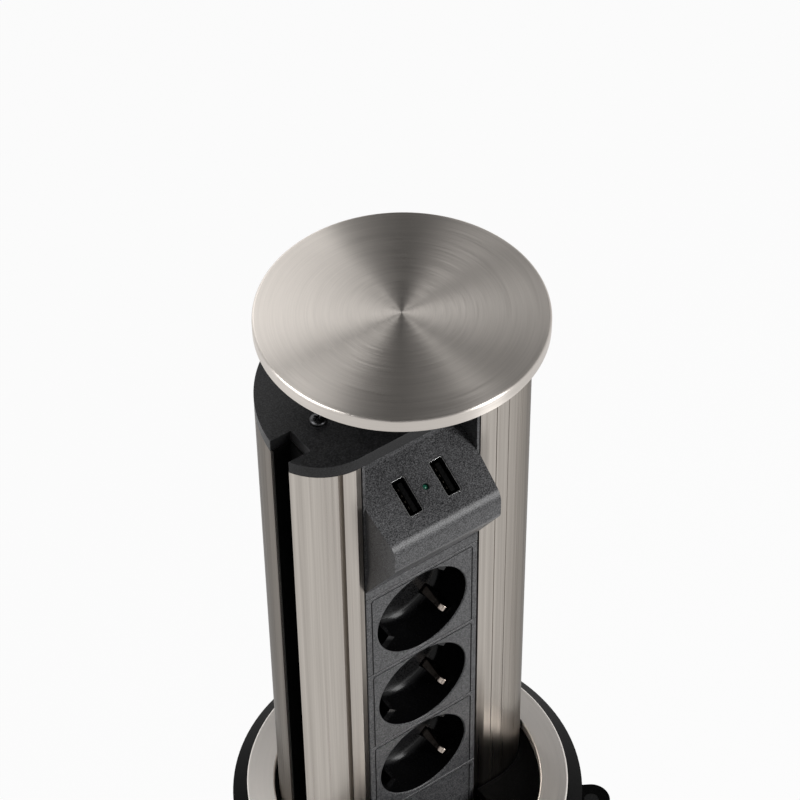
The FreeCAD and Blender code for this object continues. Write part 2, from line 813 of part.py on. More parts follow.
def make_lid():
    """The turned lid: a steel dish over a plastic backing."""
    dish = [
        ("0", "lid_base + lid_thickness - lid_skin"),
        ("lid_radius - lid_skin", "lid_base + lid_thickness - lid_skin"),
        ("lid_radius - lid_skin", "lid_base"),
        ("lid_radius - lid_edge_round", "lid_base"),
        ("lid_radius", "lid_base + lid_edge_round"),
        ("lid_radius", "lid_base + lid_thickness - lid_edge_round"),
        ("lid_radius - lid_edge_round", "lid_base + lid_thickness"),
        ("0", "lid_base + lid_thickness"),
    ]
    node(turned("lid_disc", dish), "lid_disc")
    inside = ("lid_base", "lid_base + lid_thickness - lid_skin")
    backing = rod("lid_backing_disc", "lid_radius - lid_skin - thread_play", ("0", "0"), inside)
    pilots = []
    for index in range(3):
        pilot = ("lid_base - 1", "lid_base + foot_bite + pilot_over")
        pilots.append(rod(f"lid_pilot_{index}", "foot_screw", foot_spot(index), pilot))
    node(cut("lid_backing", backing, *pilots), "lid_backing")


def make_lid_column():
    """The hollow column between the top cap and the lid, screwed to both through its feet."""
    cap_top = "profile_top + cap_thickness"
    foot_top = f"{cap_top} + foot_thickness"
    head_base = "lid_base - foot_thickness"
    section = [
        ("column_radius - column_wall", cap_top),
        ("foot_radius", cap_top),
        ("foot_radius", foot_top),
        ("column_radius - column_waist", foot_top),
        ("column_radius - column_waist", head_base),
        ("foot_radius", head_base),
        ("foot_radius", "lid_base"),
        ("column_radius - column_wall", "lid_base"),
    ]
    length = "foot_thickness + foot_bite"
    holes, screws = [], []
    for index in range(3):
        spot = foot_spot(index)
        for end, low, high in (("low", cap_top, foot_top), ("high", head_base, "lid_base")):
            through = (f"{low} - 1", f"{high} + 1")
            holes.append(rod(f"foot_hole_{end}_{index}", "foot_screw + hole_play", spot, through))
        screws.append(screw(f"foot_screw_low_{index}", spot, foot_top, length, "foot_head", "foot_screw"))
        blank = screw(f"foot_screw_blank_{index}", spot, f"-({head_base})", length, "foot_head", "foot_screw")
        screws.append(flipped(f"foot_screw_high_{index}", blank, "0"))
    node(cut("lid_column", turned("column_turned", section), *holes), "lid_column")
    node(group("column_screws", *screws), "column_screws")


def make_stop_collar():
    """The collar that stops the tower under the sleeve when it is drawn up."""
    span = ("-(collar_top + collar_height)", "-collar_top")
    longer = ("-(collar_top + collar_height + 1)", "1 - collar_top")
    disc = rod("collar_disc", "ledge_bore + 1", ("0", "0"), span)
    holes = [tower_block("collar_hole", longer, "thread_play")]
    for side in (-1, 1):
        across = sided(side, "channel_floor", "tower_radius")
        holes.append(box(f"collar_channel_{side + 1}", across, about("0", "channel_half"), longer))
    node(cut("stop_collar", disc, *holes), "stop_collar")


# Socket strip

def module_plate(name, low, high):
    """A faceplate between two heights, with a wider shoulder behind the profile's lips."""
    depth = ("strip_front", "shoulder_front")
    plate = box(name + "_plate", about("strip_x", "strip_half"), depth, (low, high))
    shoulder = box(name + "_shoulder", about("strip_x", "strip_half + shoulder_over"),
                   ("shoulder_front", "shoulder_back"), (low, high))
    return fuse(name + "_front", plate, shoulder)


def seam_frame(name, low, high):
    """The thin line inside a faceplate's sides and top, as a solid to take away."""
    rises = (f"({low}) - 1", f"({high}) - seam_inset_z")
    inner_rises = (f"({low}) - 2", f"({high}) - seam_inset_z - seam_width")
    outer = box(name + "_outer", about("strip_x", "strip_half - seam_inset_x"),
                ("strip_front - 1", "strip_front + seam_depth"), rises)
    inner = box(name + "_inner", about("strip_x", "strip_half - seam_inset_x - seam_width"),
                ("strip_front - 2", "strip_front + seam_depth + 1"), inner_rises)
    return cut(name, outer, inner)


def module_heights(index):
    """The low, middle and high of one socket module."""
    high = f"(first_top - {index} * module_pitch)"
    low = f"(first_top - {index + 1} * module_pitch + module_gap)"
    middle = f"(first_top - {index} * module_pitch - module_pitch / 2)"
    return low, middle, high


def around_well(index, radius, angle):
    """A spot at an angle round one socket's centre, in X and Z."""
    middle = module_heights(index)[1]
    return f"strip_x + ({radius}) * cos({angle})", f"{middle} + ({radius}) * sin({angle})"


def screw_posts(index):
    """The two spots in X and Z where a socket's front and back are screwed together."""
    middle = module_heights(index)[1]
    lefthand, righthand = about("strip_x", "carrier_half - post_inset_x")
    lower, upper = about(middle, "carrier_half - post_inset_z")
    return [(righthand, lower), (lefthand, upper)]


def spoke(name, index, angle, across, width, along):
    """A bar along a well's radius, between two radii and two depths."""
    bar = doc.addObject("Part::Box", name)
    bar.setExpression("Length", expression(f"({across[1]}) - ({across[0]})"))
    bar.setExpression("Width", expression(f"({along[1]}) - ({along[0]})"))
    bar.setExpression("Height", expression(width))
    x, z = around_well(index, across[0], angle)
    x = f"{x} + ({width}) / 2 * sin({angle})"
    z = f"{z} - ({width}) / 2 * cos({angle})"
    return place(bar, x, along[0], z, turn("y", -angle))


def make_socket_front(index):
    """One socket: faceplate, well, guide keys, and holes for the pins and the earth clips."""
    label = f"socket_front_{index + 1}"
    low, middle, high = module_heights(index)
    centre = ("strip_x", middle)
    barrel = peg(label + "_barrel", "well_radius + well_wall", centre, ("shoulder_front", "floor_back"))
    well = round_peg(label + "_well", "well_radius", centre, ("strip_front - 1", "well_floor"), "floor_round")
    rim = doc.addObject("Part::Cone", label + "_rim")
    rim.setExpression("Radius1", expression("well_radius + rim_round"))
    rim.setExpression("Radius2", expression("well_radius"))
    rim.setExpression("Height", expression("rim_round"))
    place(rim, "strip_x", "strip_front", middle, turn("x", -90))
    bosses, holes, keys = [], [], []
    pilot = ("carrier_front - module_bite - pilot_over", "carrier_front + 1")
    for number, spot in enumerate(screw_posts(index)):
        bosses.append(peg(f"{label}_boss_{number}", "boss_radius", spot, ("shoulder_front", "carrier_front")))
        holes.append(peg(f"{label}_pilot_{number}", "module_screw", spot, pilot))
    solid = fuse(label + "_solid", module_plate(label, low, high), barrel, *bosses)
    hollowed = cut(label + "_hollowed", solid, well)
    eased = cut(label + "_eased", hollowed, rim)
    blank = cut(label + "_blank", eased, seam_frame(label + "_seam", low, high))
    through = ("well_floor - 1", "floor_back + 1")
    key_span = ("well_radius - key_height", "well_radius + 1")
    slit_span = ("well_radius - clip_bulge - 1", "well_radius")
    for number, angle in enumerate((45, 225)):
        keys.append(spoke(f"{label}_key_{number}", index, angle, key_span, "key_width",
                          ("strip_front + key_start", "floor_back")))
        spot = around_well(index, "pin_spacing / 2", angle)
        holes.append(peg(f"{label}_pin_{number}", "pin_hole_radius", spot, through))
    for number, angle in enumerate((-45, 135)):
        name = f"{label}_slit_{number}"
        slit = ("well_floor - floor_round - 1", "floor_back + 1")
        holes.append(spoke(name, index, angle, slit_span, "clip_width + 2 * seat_gap", slit))
    node(cut(label, fuse(label + "_keyed", blank, *keys), *holes), label)


def make_earth_clips(index):
    """The pair of sprung earth contacts at the well's wall, each with a hooked nose."""
    label = f"earth_clips_{index + 1}"
    inner = "well_radius - clip_bulge"
    clips = []
    tip, bend = "strip_front + clip_start", "strip_front + clip_start + clip_nose"
    for number, angle in enumerate((-45, 135)):
        blade = spoke(f"{label}_spring_{number}", index, angle, (inner, f"{inner} + clip_thickness"),
                      "clip_width", (bend, "floor_back + shutter_gap / 2"))
        nose = spoke(f"{label}_nose_{number}", index, angle, (inner, "well_radius - seat_gap"),
                     "clip_width", (tip, bend))
        clips.append(fuse(f"{label}_clip_{number}", blade, nose))
    node(group(label, *clips), label)


def make_shutter(index):
    """The turning child-proof shutter: two blades on a hub, just behind the well's floor."""
    label = f"shutter_{index + 1}"
    centre = ("strip_x", module_heights(index)[1])
    along = ("shutter_front", "shutter_front + shutter_thickness")
    disc = peg(label + "_disc", "shutter_radius", centre, along)
    parts = [peg(label + "_hub", "pivot_radius + hub_wall", centre, along)]
    reach = ("0", "shutter_radius + 1")
    for number, angle in enumerate((45, 225)):
        parts.append(spoke(f"{label}_blade_{number}", index, angle, reach, "blade_width", along))
    blades = common(label + "_blades", disc, fuse(label + "_sides", *parts))
    bore = peg(label + "_bore", "pivot_radius + pivot_play", centre, ("floor_back", "carrier_front + 1"))
    node(cut(label, blades, bore), label)


def make_socket_back(index):
    """The carrier that holds the contacts and closes the socket's back."""
    label = f"socket_back_{index + 1}"
    middle = module_heights(index)[1]
    centre = ("strip_x", middle)
    room = ("floor_back", "carrier_front")
    through = ("carrier_front - 1", "carrier_back + 1")
    block = box(label + "_block", about("strip_x", "carrier_half"), ("carrier_front", "carrier_back"),
                about(middle, "carrier_half - seam_depth"))
    wall = peg(label + "_wall", "well_radius + well_wall - guide_play", centre, room)
    space = peg(label + "_space", "well_radius - hole_play", centre, ("floor_back - 1", "carrier_front"))
    pivot = peg(label + "_pivot", "pivot_radius", centre, ("floor_back + thread_play", "carrier_front"))
    holes = []
    for number, angle in enumerate((45, 225)):
        spot = around_well(index, "pin_spacing / 2", angle)
        holes.append(peg(f"{label}_bore_{number}", "contact_radius + seat_gap", spot, through))
    for number, spot in enumerate(screw_posts(index)):
        holes.append(peg(f"{label}_hole_{number}", "module_screw + hole_play", spot, through))
    solid = fuse(label + "_solid", block, cut(label + "_ring", wall, space), pivot)
    node(cut(label, solid, *holes), label)


def make_module_screws():
    """The two screws that hold each socket's back to its front."""
    screws = []
    head_span = ("carrier_back", "carrier_back + module_head")
    shank_span = ("carrier_front - module_bite", "carrier_back")
    for index in range(3):
        for number, spot in enumerate(screw_posts(index)):
            name = f"module_screw_{index}_{number}"
            head = peg(name + "_head", "2 * module_screw", spot, head_span)
            shank = peg(name + "_shank", "module_screw - thread_slack", spot, shank_span)
            screws.append(fuse(name, head, shank))
    node(group("module_screws", *screws), "module_screws")


def make_busbars():
    """One strip and three plug sleeves for each pole, ending on the terminal block."""
    front = "carrier_back + busbar_gap"
    socket_span = ("carrier_front", "carrier_back")
    for name, side, angle in (("live_busbar", 1, 45), ("neutral_busbar", -1, 225)):
        top = module_heights(0)[1]
        strip = box(name + "_strip", about(f"strip_x + {side} * pin_reach", "busbar_width / 2"),
                    (front, f"{front} + busbar_thickness"), ("-block_drop", f"{top} + busbar_over"))
        sleeves, bores = [], []
        for index in range(3):
            spot = around_well(index, "pin_spacing / 2", angle)
            reach = ("carrier_front + busbar_gap", f"{front} + busbar_thickness / 2")
            sleeves.append(peg(f"{name}_sleeve_{index}", "contact_radius", spot, reach))
            bores.append(peg(f"{name}_bore_{index}", "contact_radius - contact_wall", spot, socket_span))
        node(cut(name, fuse(name + "_solid", strip, *sleeves), *bores), name)


def make_plain_plates():
    """The spacer above the sockets and the long blank plate below them."""
    node(module_plate("spacer_strip", "first_top + module_gap", "strip_top"), "spacer_strip")
    low, high = "module_gap - tower_below", "blank_top"
    blank = module_plate("blank_plate", low, high)
    node(cut("blank_panel", blank, seam_frame("blank_seam", low, high)), "blank_panel")


def make_terminal_block():
    """The block where the supply cable's cores are screwed down, under the busbars' ends."""
    back = "carrier_back + block_back"
    low = "-(block_drop + block_height)"
    deep = f"{back} - terminal_depth / 2"
    rise = f"{low} + terminal_depth / 2"
    block = box("terminal_body", about("strip_x", "block_half"), ("shoulder_back", back),
                (low, "-block_drop"))
    holes, screws = [], []
    for number in range(3):
        across = f"strip_x + {number - 1} * terminal_pitch"
        holes.append(rod(f"terminal_entry_{number}", "terminal_bore", (across, deep),
                         (f"{low} - 1", f"{low} + terminal_depth")))
        holes.append(peg(f"terminal_well_{number}", "terminal_bore", (across, rise), (deep, f"{back} + 1")))
        screws.append(peg(f"terminal_screw_{number}", "terminal_bore - thread_slack", (across, rise),
                          (f"{deep} + terminal_bore", f"{back} - pilot_over")))
    node(cut("terminal_block", block, *holes), "terminal_block")
    node(group("terminal_screws", *screws), "terminal_screws")


# Charger with two ports

def sloped(y, drop="0"):
    """Height of the charger's sloped face at a Y, less a drop."""
    return f"wedge_top - ((0 - ({y})) - wedge_back) * tan(wedge_slope) - ({drop})"


def make_usb_housing():
    """The charger's wedge: sloped front, tapered lip, flat cheeks, and holes for ports and lamp."""
    lip_front = sloped("-wedge_front")
    lip_low = f"({lip_front}) - wedge_lip"
    outside = [
        ("-wedge_back", "usb_roof"),
        ("-wedge_back", "wedge_top"),
        ("-wedge_front", lip_front),
        ("-wedge_front", lip_low),
        ("strip_front", "usb_base"),
        ("wedge_inner", "usb_base"),
        ("wedge_inner", "usb_roof"),
    ]
    thinner = "wedge_wall / cos(wedge_slope)"
    inside = [
        ("wedge_inner + 1", sloped("-wedge_back", thinner)),
        ("-wedge_back", sloped("-wedge_back", thinner)),
        ("-(wedge_front - wedge_wall)", sloped("-(wedge_front - wedge_wall)", thinner)),
        ("-(wedge_front - wedge_wall)", f"{lip_low} + wedge_floor"),
        ("strip_front + wedge_wall + seat_gap", "usb_base + wedge_wall"),
        ("wedge_inner + 1", "usb_base + wedge_wall"),
    ]
    wedge = side_block("usb_wedge", outside, "strip_half")
    hollow = side_block("usb_hollow", inside, "strip_half - wedge_taper - wedge_wall")
    shoulder = box("usb_shoulder", about("strip_x", "strip_half + shoulder_over"),
                   ("shoulder_front", "shoulder_back"), ("usb_base", "usb_roof"))
    middle = box("usb_shoulder_gap", about("strip_x", "strip_half - cheek_thickness"),
                 ("shoulder_front - 1", "shoulder_back + 1"), ("usb_base + wedge_wall", "profile_top + 1"))
    flanks = cut("usb_flanks", shoulder, middle)
    cheeks, tapers = [], []
    for side in (-1, 1):
        edge = f"strip_x + {side} * strip_half"
        inner = f"{edge} - {side} * cheek_thickness"
        across = (inner, edge) if side > 0 else (edge, inner)
        cheek = box(f"usb_cheek_{side + 1}", across, ("strip_front", "wedge_inner"), ("usb_base", "usb_roof"))
        cheeks.append(cheek)
        beyond = f"{edge} + {side} * wedge_taper"
        tapers.append(extruded(f"usb_taper_{side + 1}", flat_sketch(f"usb_taper_plan_{side + 1}", [
            (edge, "strip_front"),
            (beyond, "strip_front"),
            (beyond, "-(wedge_front + 1)"),
            (f"{edge} - {side} * wedge_taper", "-(wedge_front + 1)"),
        ]), ("usb_base - 1", "wedge_top + 1")))
    solid = fuse("usb_solid", cut("usb_tapered", wedge, *tapers), *cheeks, flanks)
    holes = [hollow]
    through = ("-2", "2 * wedge_wall")
    for side in (-1, 1):
        holes.append(port_block(f"usb_port_{side + 1}", side, "0", through))
    holes.append(lamp_rod("usb_led_hole", "led_radius", through))
    node(cut("usb_housing", solid, *holes), "usb_housing")


def below_slope(name, part, x, down, depth):
    """Set a part square to the sloped face, from a depth below it, at a distance down the slope."""
    y = f"-(wedge_back + ({down}) * cos(wedge_slope)) + ({depth}) * sin(wedge_slope)"
    z = f"wedge_top - ({down}) * sin(wedge_slope) - ({depth}) * cos(wedge_slope)"
    part.Label = name
    return place(part, x, y, z, turn("x", value("wedge_slope")))


def port_block(name, side, inset, depths, aside="0"):
    """A block at a port's place, inset all round, between two depths below the sloped face."""
    part = doc.addObject("Part::Box", name)
    across = f"(port_width - 2 * ({inset}))"
    along = f"(port_length - 2 * ({inset}))"
    part.setExpression("Length", expression(across))
    part.setExpression("Width", expression(along))
    part.setExpression("Height", expression(f"({depths[1]}) - ({depths[0]})"))
    x = f"strip_x + {side} * port_spacing / 2 - {across} / 2 + ({aside})"
    return below_slope(name, part, x, f"port_drop + {along} / 2", depths[1])


def lamp_rod(name, radius, depths):
    """A rod at the lamp's place, between two depths below the sloped face."""
    part = doc.addObject("Part::Cylinder", name)
    part.setExpression("Radius", expression(radius))
    part.setExpression("Height", expression(f"({depths[1]}) - ({depths[0]})"))
    return below_slope(name, part, "strip_x", "port_drop", depths[1])


def make_usb_ports():
    """Each port's steel shell and its plastic tongue, set square to the sloped face."""
    within = "port_fit + shell_wall"
    for side, word in ((-1, "left"), (1, "right")):
        outer = port_block(f"usb_shell_outer_{word}", side, "port_fit", ("port_sink", "port_depth"))
        inner = port_block(f"usb_shell_inner_{word}", side, within, ("-1", "port_depth - shell_back"))
        node(cut(f"usb_shell_{word}", outer, inner), f"usb_shell_{word}")
        root = ("port_depth - tongue_root", "port_depth - shell_back")
        blade = ("tongue_gap", "port_depth - tongue_root + 1")
        tongue = fuse(
            f"usb_tongue_{word}",
            port_block(f"usb_block_{word}", side, within, root),
            port_block(f"usb_blade_{word}", side, f"{within} + tongue_gap", blade, "-tongue_aside"),
        )
        node(tongue, f"usb_tongue_{word}")


def make_led_lens():
    """The lamp's lens, sunk a little below the sloped face."""
    lens = lamp_rod("usb_led_lens", "led_radius - thread_slack", ("led_sink", "wedge_wall + 1"))
    node(lens, "usb_led_lens")


def make_charger():
    """The ports' own board, and the power supply board behind the housing."""
    board = doc.addObject("Part::Box", "port_board")
    half = "(strip_half - wedge_taper - wedge_wall - seat_gap)"
    board.setExpression("Length", expression(f"2 * {half}"))
    board.setExpression("Width", expression("port_length + board_margin"))
    board.setExpression("Height", expression("board_thickness"))
    down = "port_drop + (port_length + board_margin) / 2"
    depth = "port_depth + board_thickness"
    node(below_slope("usb_port_board", board, f"strip_x - {half}", down, depth), "usb_port_board")
    front = "wedge_inner + board_back"
    back = f"{front} + board_thickness"
    node(box("charger_board_plate", about("strip_x", "board_half"), (front, back),
             ("strip_top + board_base", "profile_top")), "charger_board")
    node(box("charger_transformer_block", ("strip_x - transformer_left", "strip_x + transformer_right"),
             (back, f"{back} + transformer_depth"),
             ("strip_top + transformer_low", "strip_top + transformer_high")), "charger_transformer")
    spot = ("strip_x + capacitor_x", "profile_top - capacitor_drop")
    capacitor = peg("charger_capacitor_can", "capacitor_radius", spot, (back, f"{back} + capacitor_length"))
    node(capacitor, "charger_capacitor")


# Cable entry

def make_cable_gland():
    """The screwed gland that takes the supply cable through the bottom cap."""
    base = "-(tower_below + cap_thickness)"
    centre = ("0", "gland_y")
    bore = (f"{base} - gland_cap_length - 1", "0")
    rim_low = f"{base} - gland_rim_height"
    tail_low = f"{base} - gland_tail_length"
    inside = "-tower_below"
    body = fuse(
        "gland_solid",
        rod("gland_flange", "gland_radius + gland_rim", centre, (rim_low, base)),
        rod("gland_neck", "gland_radius", centre, (base, f"{inside} + gland_neck_height")),
        rod("gland_tail", "gland_radius - gland_tail_step", centre, (tail_low, base)),
    )
    node(cut("cable_gland", body, rod("gland_body_bore", "gland_bore", centre, bore)), "cable_gland")
    nut = rod("gland_nut_disc", "gland_radius + nut_rim", centre, (inside, f"{inside} + nut_height"))
    thread = rod("gland_nut_bore", "gland_radius + thread_slack", centre, bore)
    node(cut("gland_locknut", nut, thread), "gland_locknut")
    dome = rod("gland_dome", "gland_radius + gland_cap_over", centre, (f"{base} - gland_cap_length", rim_low))
    hollow = rod("gland_dome_hollow", "gland_radius - gland_tail_step + thread_slack", centre,
                 (tail_low, f"{rim_low} + 1"))
    mouth = rod("gland_cap_bore", "gland_bore", centre, bore)
    node(cut("gland_cap", dome, hollow, mouth), "gland_cap")


def build():
    """Make every sub-part, from the worktop outwards and then up the tower."""
    make_flange_body()
    make_trim_ring()
    make_worktop_seal()
    make_guide_plates()
    make_guide_screws()
    make_brake_pads()
    make_clamp_ring()
    make_clamp_screws()
    make_tower_profile()
    make_channel_liners()
    make_end_caps()
    make_lid()
    make_lid_column()
    make_stop_collar()
    for index in range(3):
        make_socket_front(index)
        make_socket_back(index)
        make_earth_clips(index)
        make_shutter(index)
    make_module_screws()
    make_busbars()
    make_plain_plates()
    make_terminal_block()
    make_usb_housing()
    make_usb_ports()
    make_led_lens()
    make_charger()
    make_cable_gland()


def write_parts():
    """Check every object, then write one file for each sub-part."""
    doc.recompute()
    for item in doc.Objects:
        if "Invalid" in item.State or "Error" in item.State:
            raise RuntimeError(f"{item.Name} failed: {item.State}")
    for part in NODES:
        if part.Shape.isNull() or not part.Shape.isValid():
            raise RuntimeError(f"{part.Label} has no valid shape")
        part.Shape.exportStep(f"parts/{part.Label}.step")
        print(part.Label, len(part.Shape.Solids), round(part.Shape.Volume, 1))


build()
write_parts()
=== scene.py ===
import logging
import math
from dataclasses import dataclass
from enum import Enum
from typing import Callable, Iterable, Sequence

import bmesh
import bpy
from mathutils import Matrix, Vector


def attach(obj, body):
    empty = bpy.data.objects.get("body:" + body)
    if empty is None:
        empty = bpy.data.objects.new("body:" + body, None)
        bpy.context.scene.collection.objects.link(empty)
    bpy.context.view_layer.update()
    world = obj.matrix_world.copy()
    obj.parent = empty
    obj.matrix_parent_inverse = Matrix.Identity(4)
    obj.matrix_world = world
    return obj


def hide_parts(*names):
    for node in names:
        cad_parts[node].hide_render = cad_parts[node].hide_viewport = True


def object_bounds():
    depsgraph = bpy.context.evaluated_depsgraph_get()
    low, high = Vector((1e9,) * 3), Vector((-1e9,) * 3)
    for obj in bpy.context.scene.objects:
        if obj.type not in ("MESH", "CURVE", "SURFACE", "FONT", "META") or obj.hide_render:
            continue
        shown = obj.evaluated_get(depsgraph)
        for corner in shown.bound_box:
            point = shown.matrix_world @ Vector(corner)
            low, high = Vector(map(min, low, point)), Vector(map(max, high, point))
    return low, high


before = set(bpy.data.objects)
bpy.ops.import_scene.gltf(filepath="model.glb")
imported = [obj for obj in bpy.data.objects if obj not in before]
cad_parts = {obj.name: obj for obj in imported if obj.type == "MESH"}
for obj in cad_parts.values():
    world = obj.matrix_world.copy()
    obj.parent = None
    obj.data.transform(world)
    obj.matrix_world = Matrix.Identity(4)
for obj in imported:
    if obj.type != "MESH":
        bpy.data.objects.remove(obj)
CAD_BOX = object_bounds()

logging.basicConfig(level=logging.INFO, format="%(message)s")
LOG = logging.getLogger("socket_tower")

MM = 0.001
Colour = tuple[float, float, float]


class Grain(Enum):
    """Which way a metal was brushed."""

    ROUND = "round the axis"
    LENGTHWAYS = "along the height"


# Shader maths and nodes


def operator(operation: str, reflected: bool = False) -> Callable[["Sock", "Sock | float"], "Sock"]:
    """A method for one of Python's operators, which adds a Math node over its two terms."""
    def method(sock: "Sock", other: "Sock | float") -> "Sock":
        """Add the node, with the terms swapped where the operator is reflected."""
        terms = (other, sock) if reflected else (sock, other)
        return sock.board.maths(operation, *terms)

    return method


@dataclass(frozen=True)
class Sock:
    """A shader socket that takes Python's arithmetic operators."""

    board: "NodeBoard"
    socket: bpy.types.NodeSocket

    __add__ = __radd__ = operator("ADD")
    __sub__ = operator("SUBTRACT")
    __rsub__ = operator("SUBTRACT", reflected=True)
    __mul__ = __rmul__ = operator("MULTIPLY")
    __truediv__ = operator("DIVIDE")

    def clamp(self, low: float = 0.0, high: float = 1.0) -> "Sock":
        """Keep the value between two limits."""
        return self.board.maths("MINIMUM", self.board.maths("MAXIMUM", self, low), high)


class NodeBoard:
    """A node tree with one method for maths and one for every other node."""

    def __init__(self, name: str, tree: bpy.types.NodeTree | None = None) -> None:
        """Start a material with a Principled shader, or take a tree that exists.

        Args:
            name: the material's name.
            tree: a node tree to work on instead.
        """
        if tree:
            self.tree = tree
            return
        self.material = bpy.data.materials.new(name)
        self.material.use_nodes = True
        self.tree = self.material.node_tree
        self.shader = self.tree.nodes["Principled BSDF"]

    def node(self, kind: str, inputs: dict[str, object] | None = None, **settings: object) -> bpy.types.Node:
        """Add a node, set its options and join or set its inputs.

        Args:
            kind: the node's type name.
            inputs: values or wrapped sockets by input name.
            settings: the node's own properties.

        Returns:
            The new node.
        """
        made = self.tree.nodes.new(kind)
        for key, setting in settings.items():
            setattr(made, key, setting)
        for key, given in (inputs or {}).items():
            self.join(made.inputs[key], given)
        return made

    def join(self, target: bpy.types.NodeSocket, given: object) -> None:
        """Link a wrapped socket to an input, or set the input's own value."""
        if isinstance(given, Sock):
            self.tree.links.new(given.socket, target)
        else:
            target.default_value = given

    def out(self, made: bpy.types.Node, name: str | int = 0) -> Sock:
        """Wrap one of a node's outputs."""
        return Sock(self, made.outputs[name])

    def maths(self, operation: str, *terms: "Sock | float") -> Sock:
        """Add a Math node over one to three terms."""
        made = self.tree.nodes.new("ShaderNodeMath")
        made.operation = operation
        for index, term in enumerate(terms):
            self.join(made.inputs[index], term)
        return Sock(self, made.outputs[0])

    def place(self) -> Sock:
        """The point being shaded, in the object's own coordinates."""
        return self.out(self.node("ShaderNodeTexCoord"), "Object")

    def moved(self, vector: Sock, scale: tuple[float, float, float]) -> Sock:
        """Stretch a vector by a factor on each axis."""
        return self.out(self.node("ShaderNodeVectorMath", {0: vector, 1: scale}, operation="MULTIPLY"))

    def axes(self, vector: Sock) -> tuple[Sock, Sock, Sock]:
        """Split a vector in three."""
        made = self.node("ShaderNodeSeparateXYZ", {"Vector": vector})
        return self.out(made, "X"), self.out(made, "Y"), self.out(made, "Z")

    def joined(self, x: "Sock | float", y: "Sock | float", z: "Sock | float") -> Sock:
        """Make a vector of three values."""
        return self.out(self.node("ShaderNodeCombineXYZ", {"X": x, "Y": y, "Z": z}))

    def noise(self, vector: Sock, scale: float, detail: float = 2.0, roughness: float = 0.5) -> Sock:
        """A smooth random value from 0 to 1."""
        inputs = {"Vector": vector, "Scale": scale, "Detail": detail, "Roughness": roughness}
        return self.out(self.node("ShaderNodeTexNoise", inputs), "Fac")

    def blend(self, share: Sock, first: Colour, second: Colour) -> Sock:
        """Mix two colours by a share."""
        made = self.node("ShaderNodeMix", data_type="RGBA", clamp_factor=False, clamp_result=True)
        self.join(made.inputs[0], share)
        made.inputs[6].default_value = (*first, 1.0)
        made.inputs[7].default_value = (*second, 1.0)
        return self.out(made, 2)

    def bump(self, height: Sock, strength: float, distance: float) -> Sock:
        """Turn a height into a bumped normal."""
        made = self.node("ShaderNodeBump", {"Height": height, "Strength": strength, "Distance": distance})
        return self.out(made, "Normal")

    def rays(self) -> tuple[Sock, Sock]:
        """The share of rays that see the white surround, and of those the camera's own."""
        path = self.node("ShaderNodeLightPath")
        camera = self.out(path, "Is Camera Ray")
        seen = camera + self.out(path, "Is Glossy Ray") + self.out(path, "Is Transmission Ray")
        return seen.clamp(), camera

    def finish(self, share: Sock, first: bpy.types.Node, second: bpy.types.Node, output: str) -> None:
        """Mix two shaders by a share and send them to the tree's output.

        Args:
            share: how much of the second shader is taken.
            first: the first shader.
            second: the second shader.
            output: the name of the output node.
        """
        mix = self.node("ShaderNodeMixShader", {"Fac": share})
        for index, shader in ((1, first), (2, second)):
            self.tree.links.new(shader.outputs[0], mix.inputs[index])
        self.tree.links.new(mix.outputs[0], self.tree.nodes[output].inputs["Surface"])

    def set(self, **inputs: object) -> bpy.types.Material:
        """Set or link the shader's inputs, with spaces written as underscores."""
        for key, given in inputs.items():
            self.join(self.shader.inputs[key.replace("_", " ")], given)
        return self.material


# Finishes


@dataclass(frozen=True)
class BrushedMetal:
    """A metal brushed round an axis or along its height."""

    name: str
    light: Colour
    dark: Colour
    grain: Grain
    roughness: float = 0.3
    anisotropy: float = 0.75
    fineness: float = 1.0
    bump: float = 0.12
    contrast: float = 2.6
    edge_tint: float = 1.0

    def make(self) -> bpy.types.Material:
        """Build the material and return it."""
        board = NodeBoard(self.name)
        x, y, z = board.axes(board.place())
        radius = board.maths("SQRT", x * x + y * y)
        # Fine lines and broad bands, both drawn out along the brushing, in cells per metre or radian
        if self.grain is Grain.ROUND:
            turn = board.maths("ARCTAN2", y, x)
            lines = board.joined(radius * (2600.0 * self.fineness), z * 900.0, turn * 1.4)
            broad = board.joined(radius * 800.0, 0.0, turn * 1.2)
        else:
            count = 2300.0 * self.fineness
            lines = board.joined(x * count, y * count, z * 9.0)
            broad = board.joined(x * 420.0, y * 420.0, z * 1.5)
        fine = board.noise(lines, 1.0, 2.0, 0.6)
        wide = board.noise(broad, 1.0, 3.0, 0.55)
        share = (fine * 0.5 + wide * 0.5 - 0.5) * self.contrast + 0.5
        colour = board.blend(share.clamp(-1.0), self.dark, self.light)
        rough = (fine - 0.5) * 0.16 + (wide - 0.5) * 0.04 + self.roughness
        tangent = board.node("ShaderNodeTangent", direction_type="RADIAL", axis="Z")
        board.join(board.shader.inputs["Tangent"], board.out(tangent))
        return board.set(
            Base_Color=colour,
            Metallic=1.0,
            Roughness=rough.clamp(0.08, 0.9),
            Specular_Tint=(self.edge_tint, self.edge_tint, self.edge_tint, 1.0),
            Anisotropic=self.anisotropy,
            Anisotropic_Rotation=0.25 if self.grain is Grain.ROUND else 0.0,
            Normal=board.bump(fine, self.bump, 0.00004),
        )


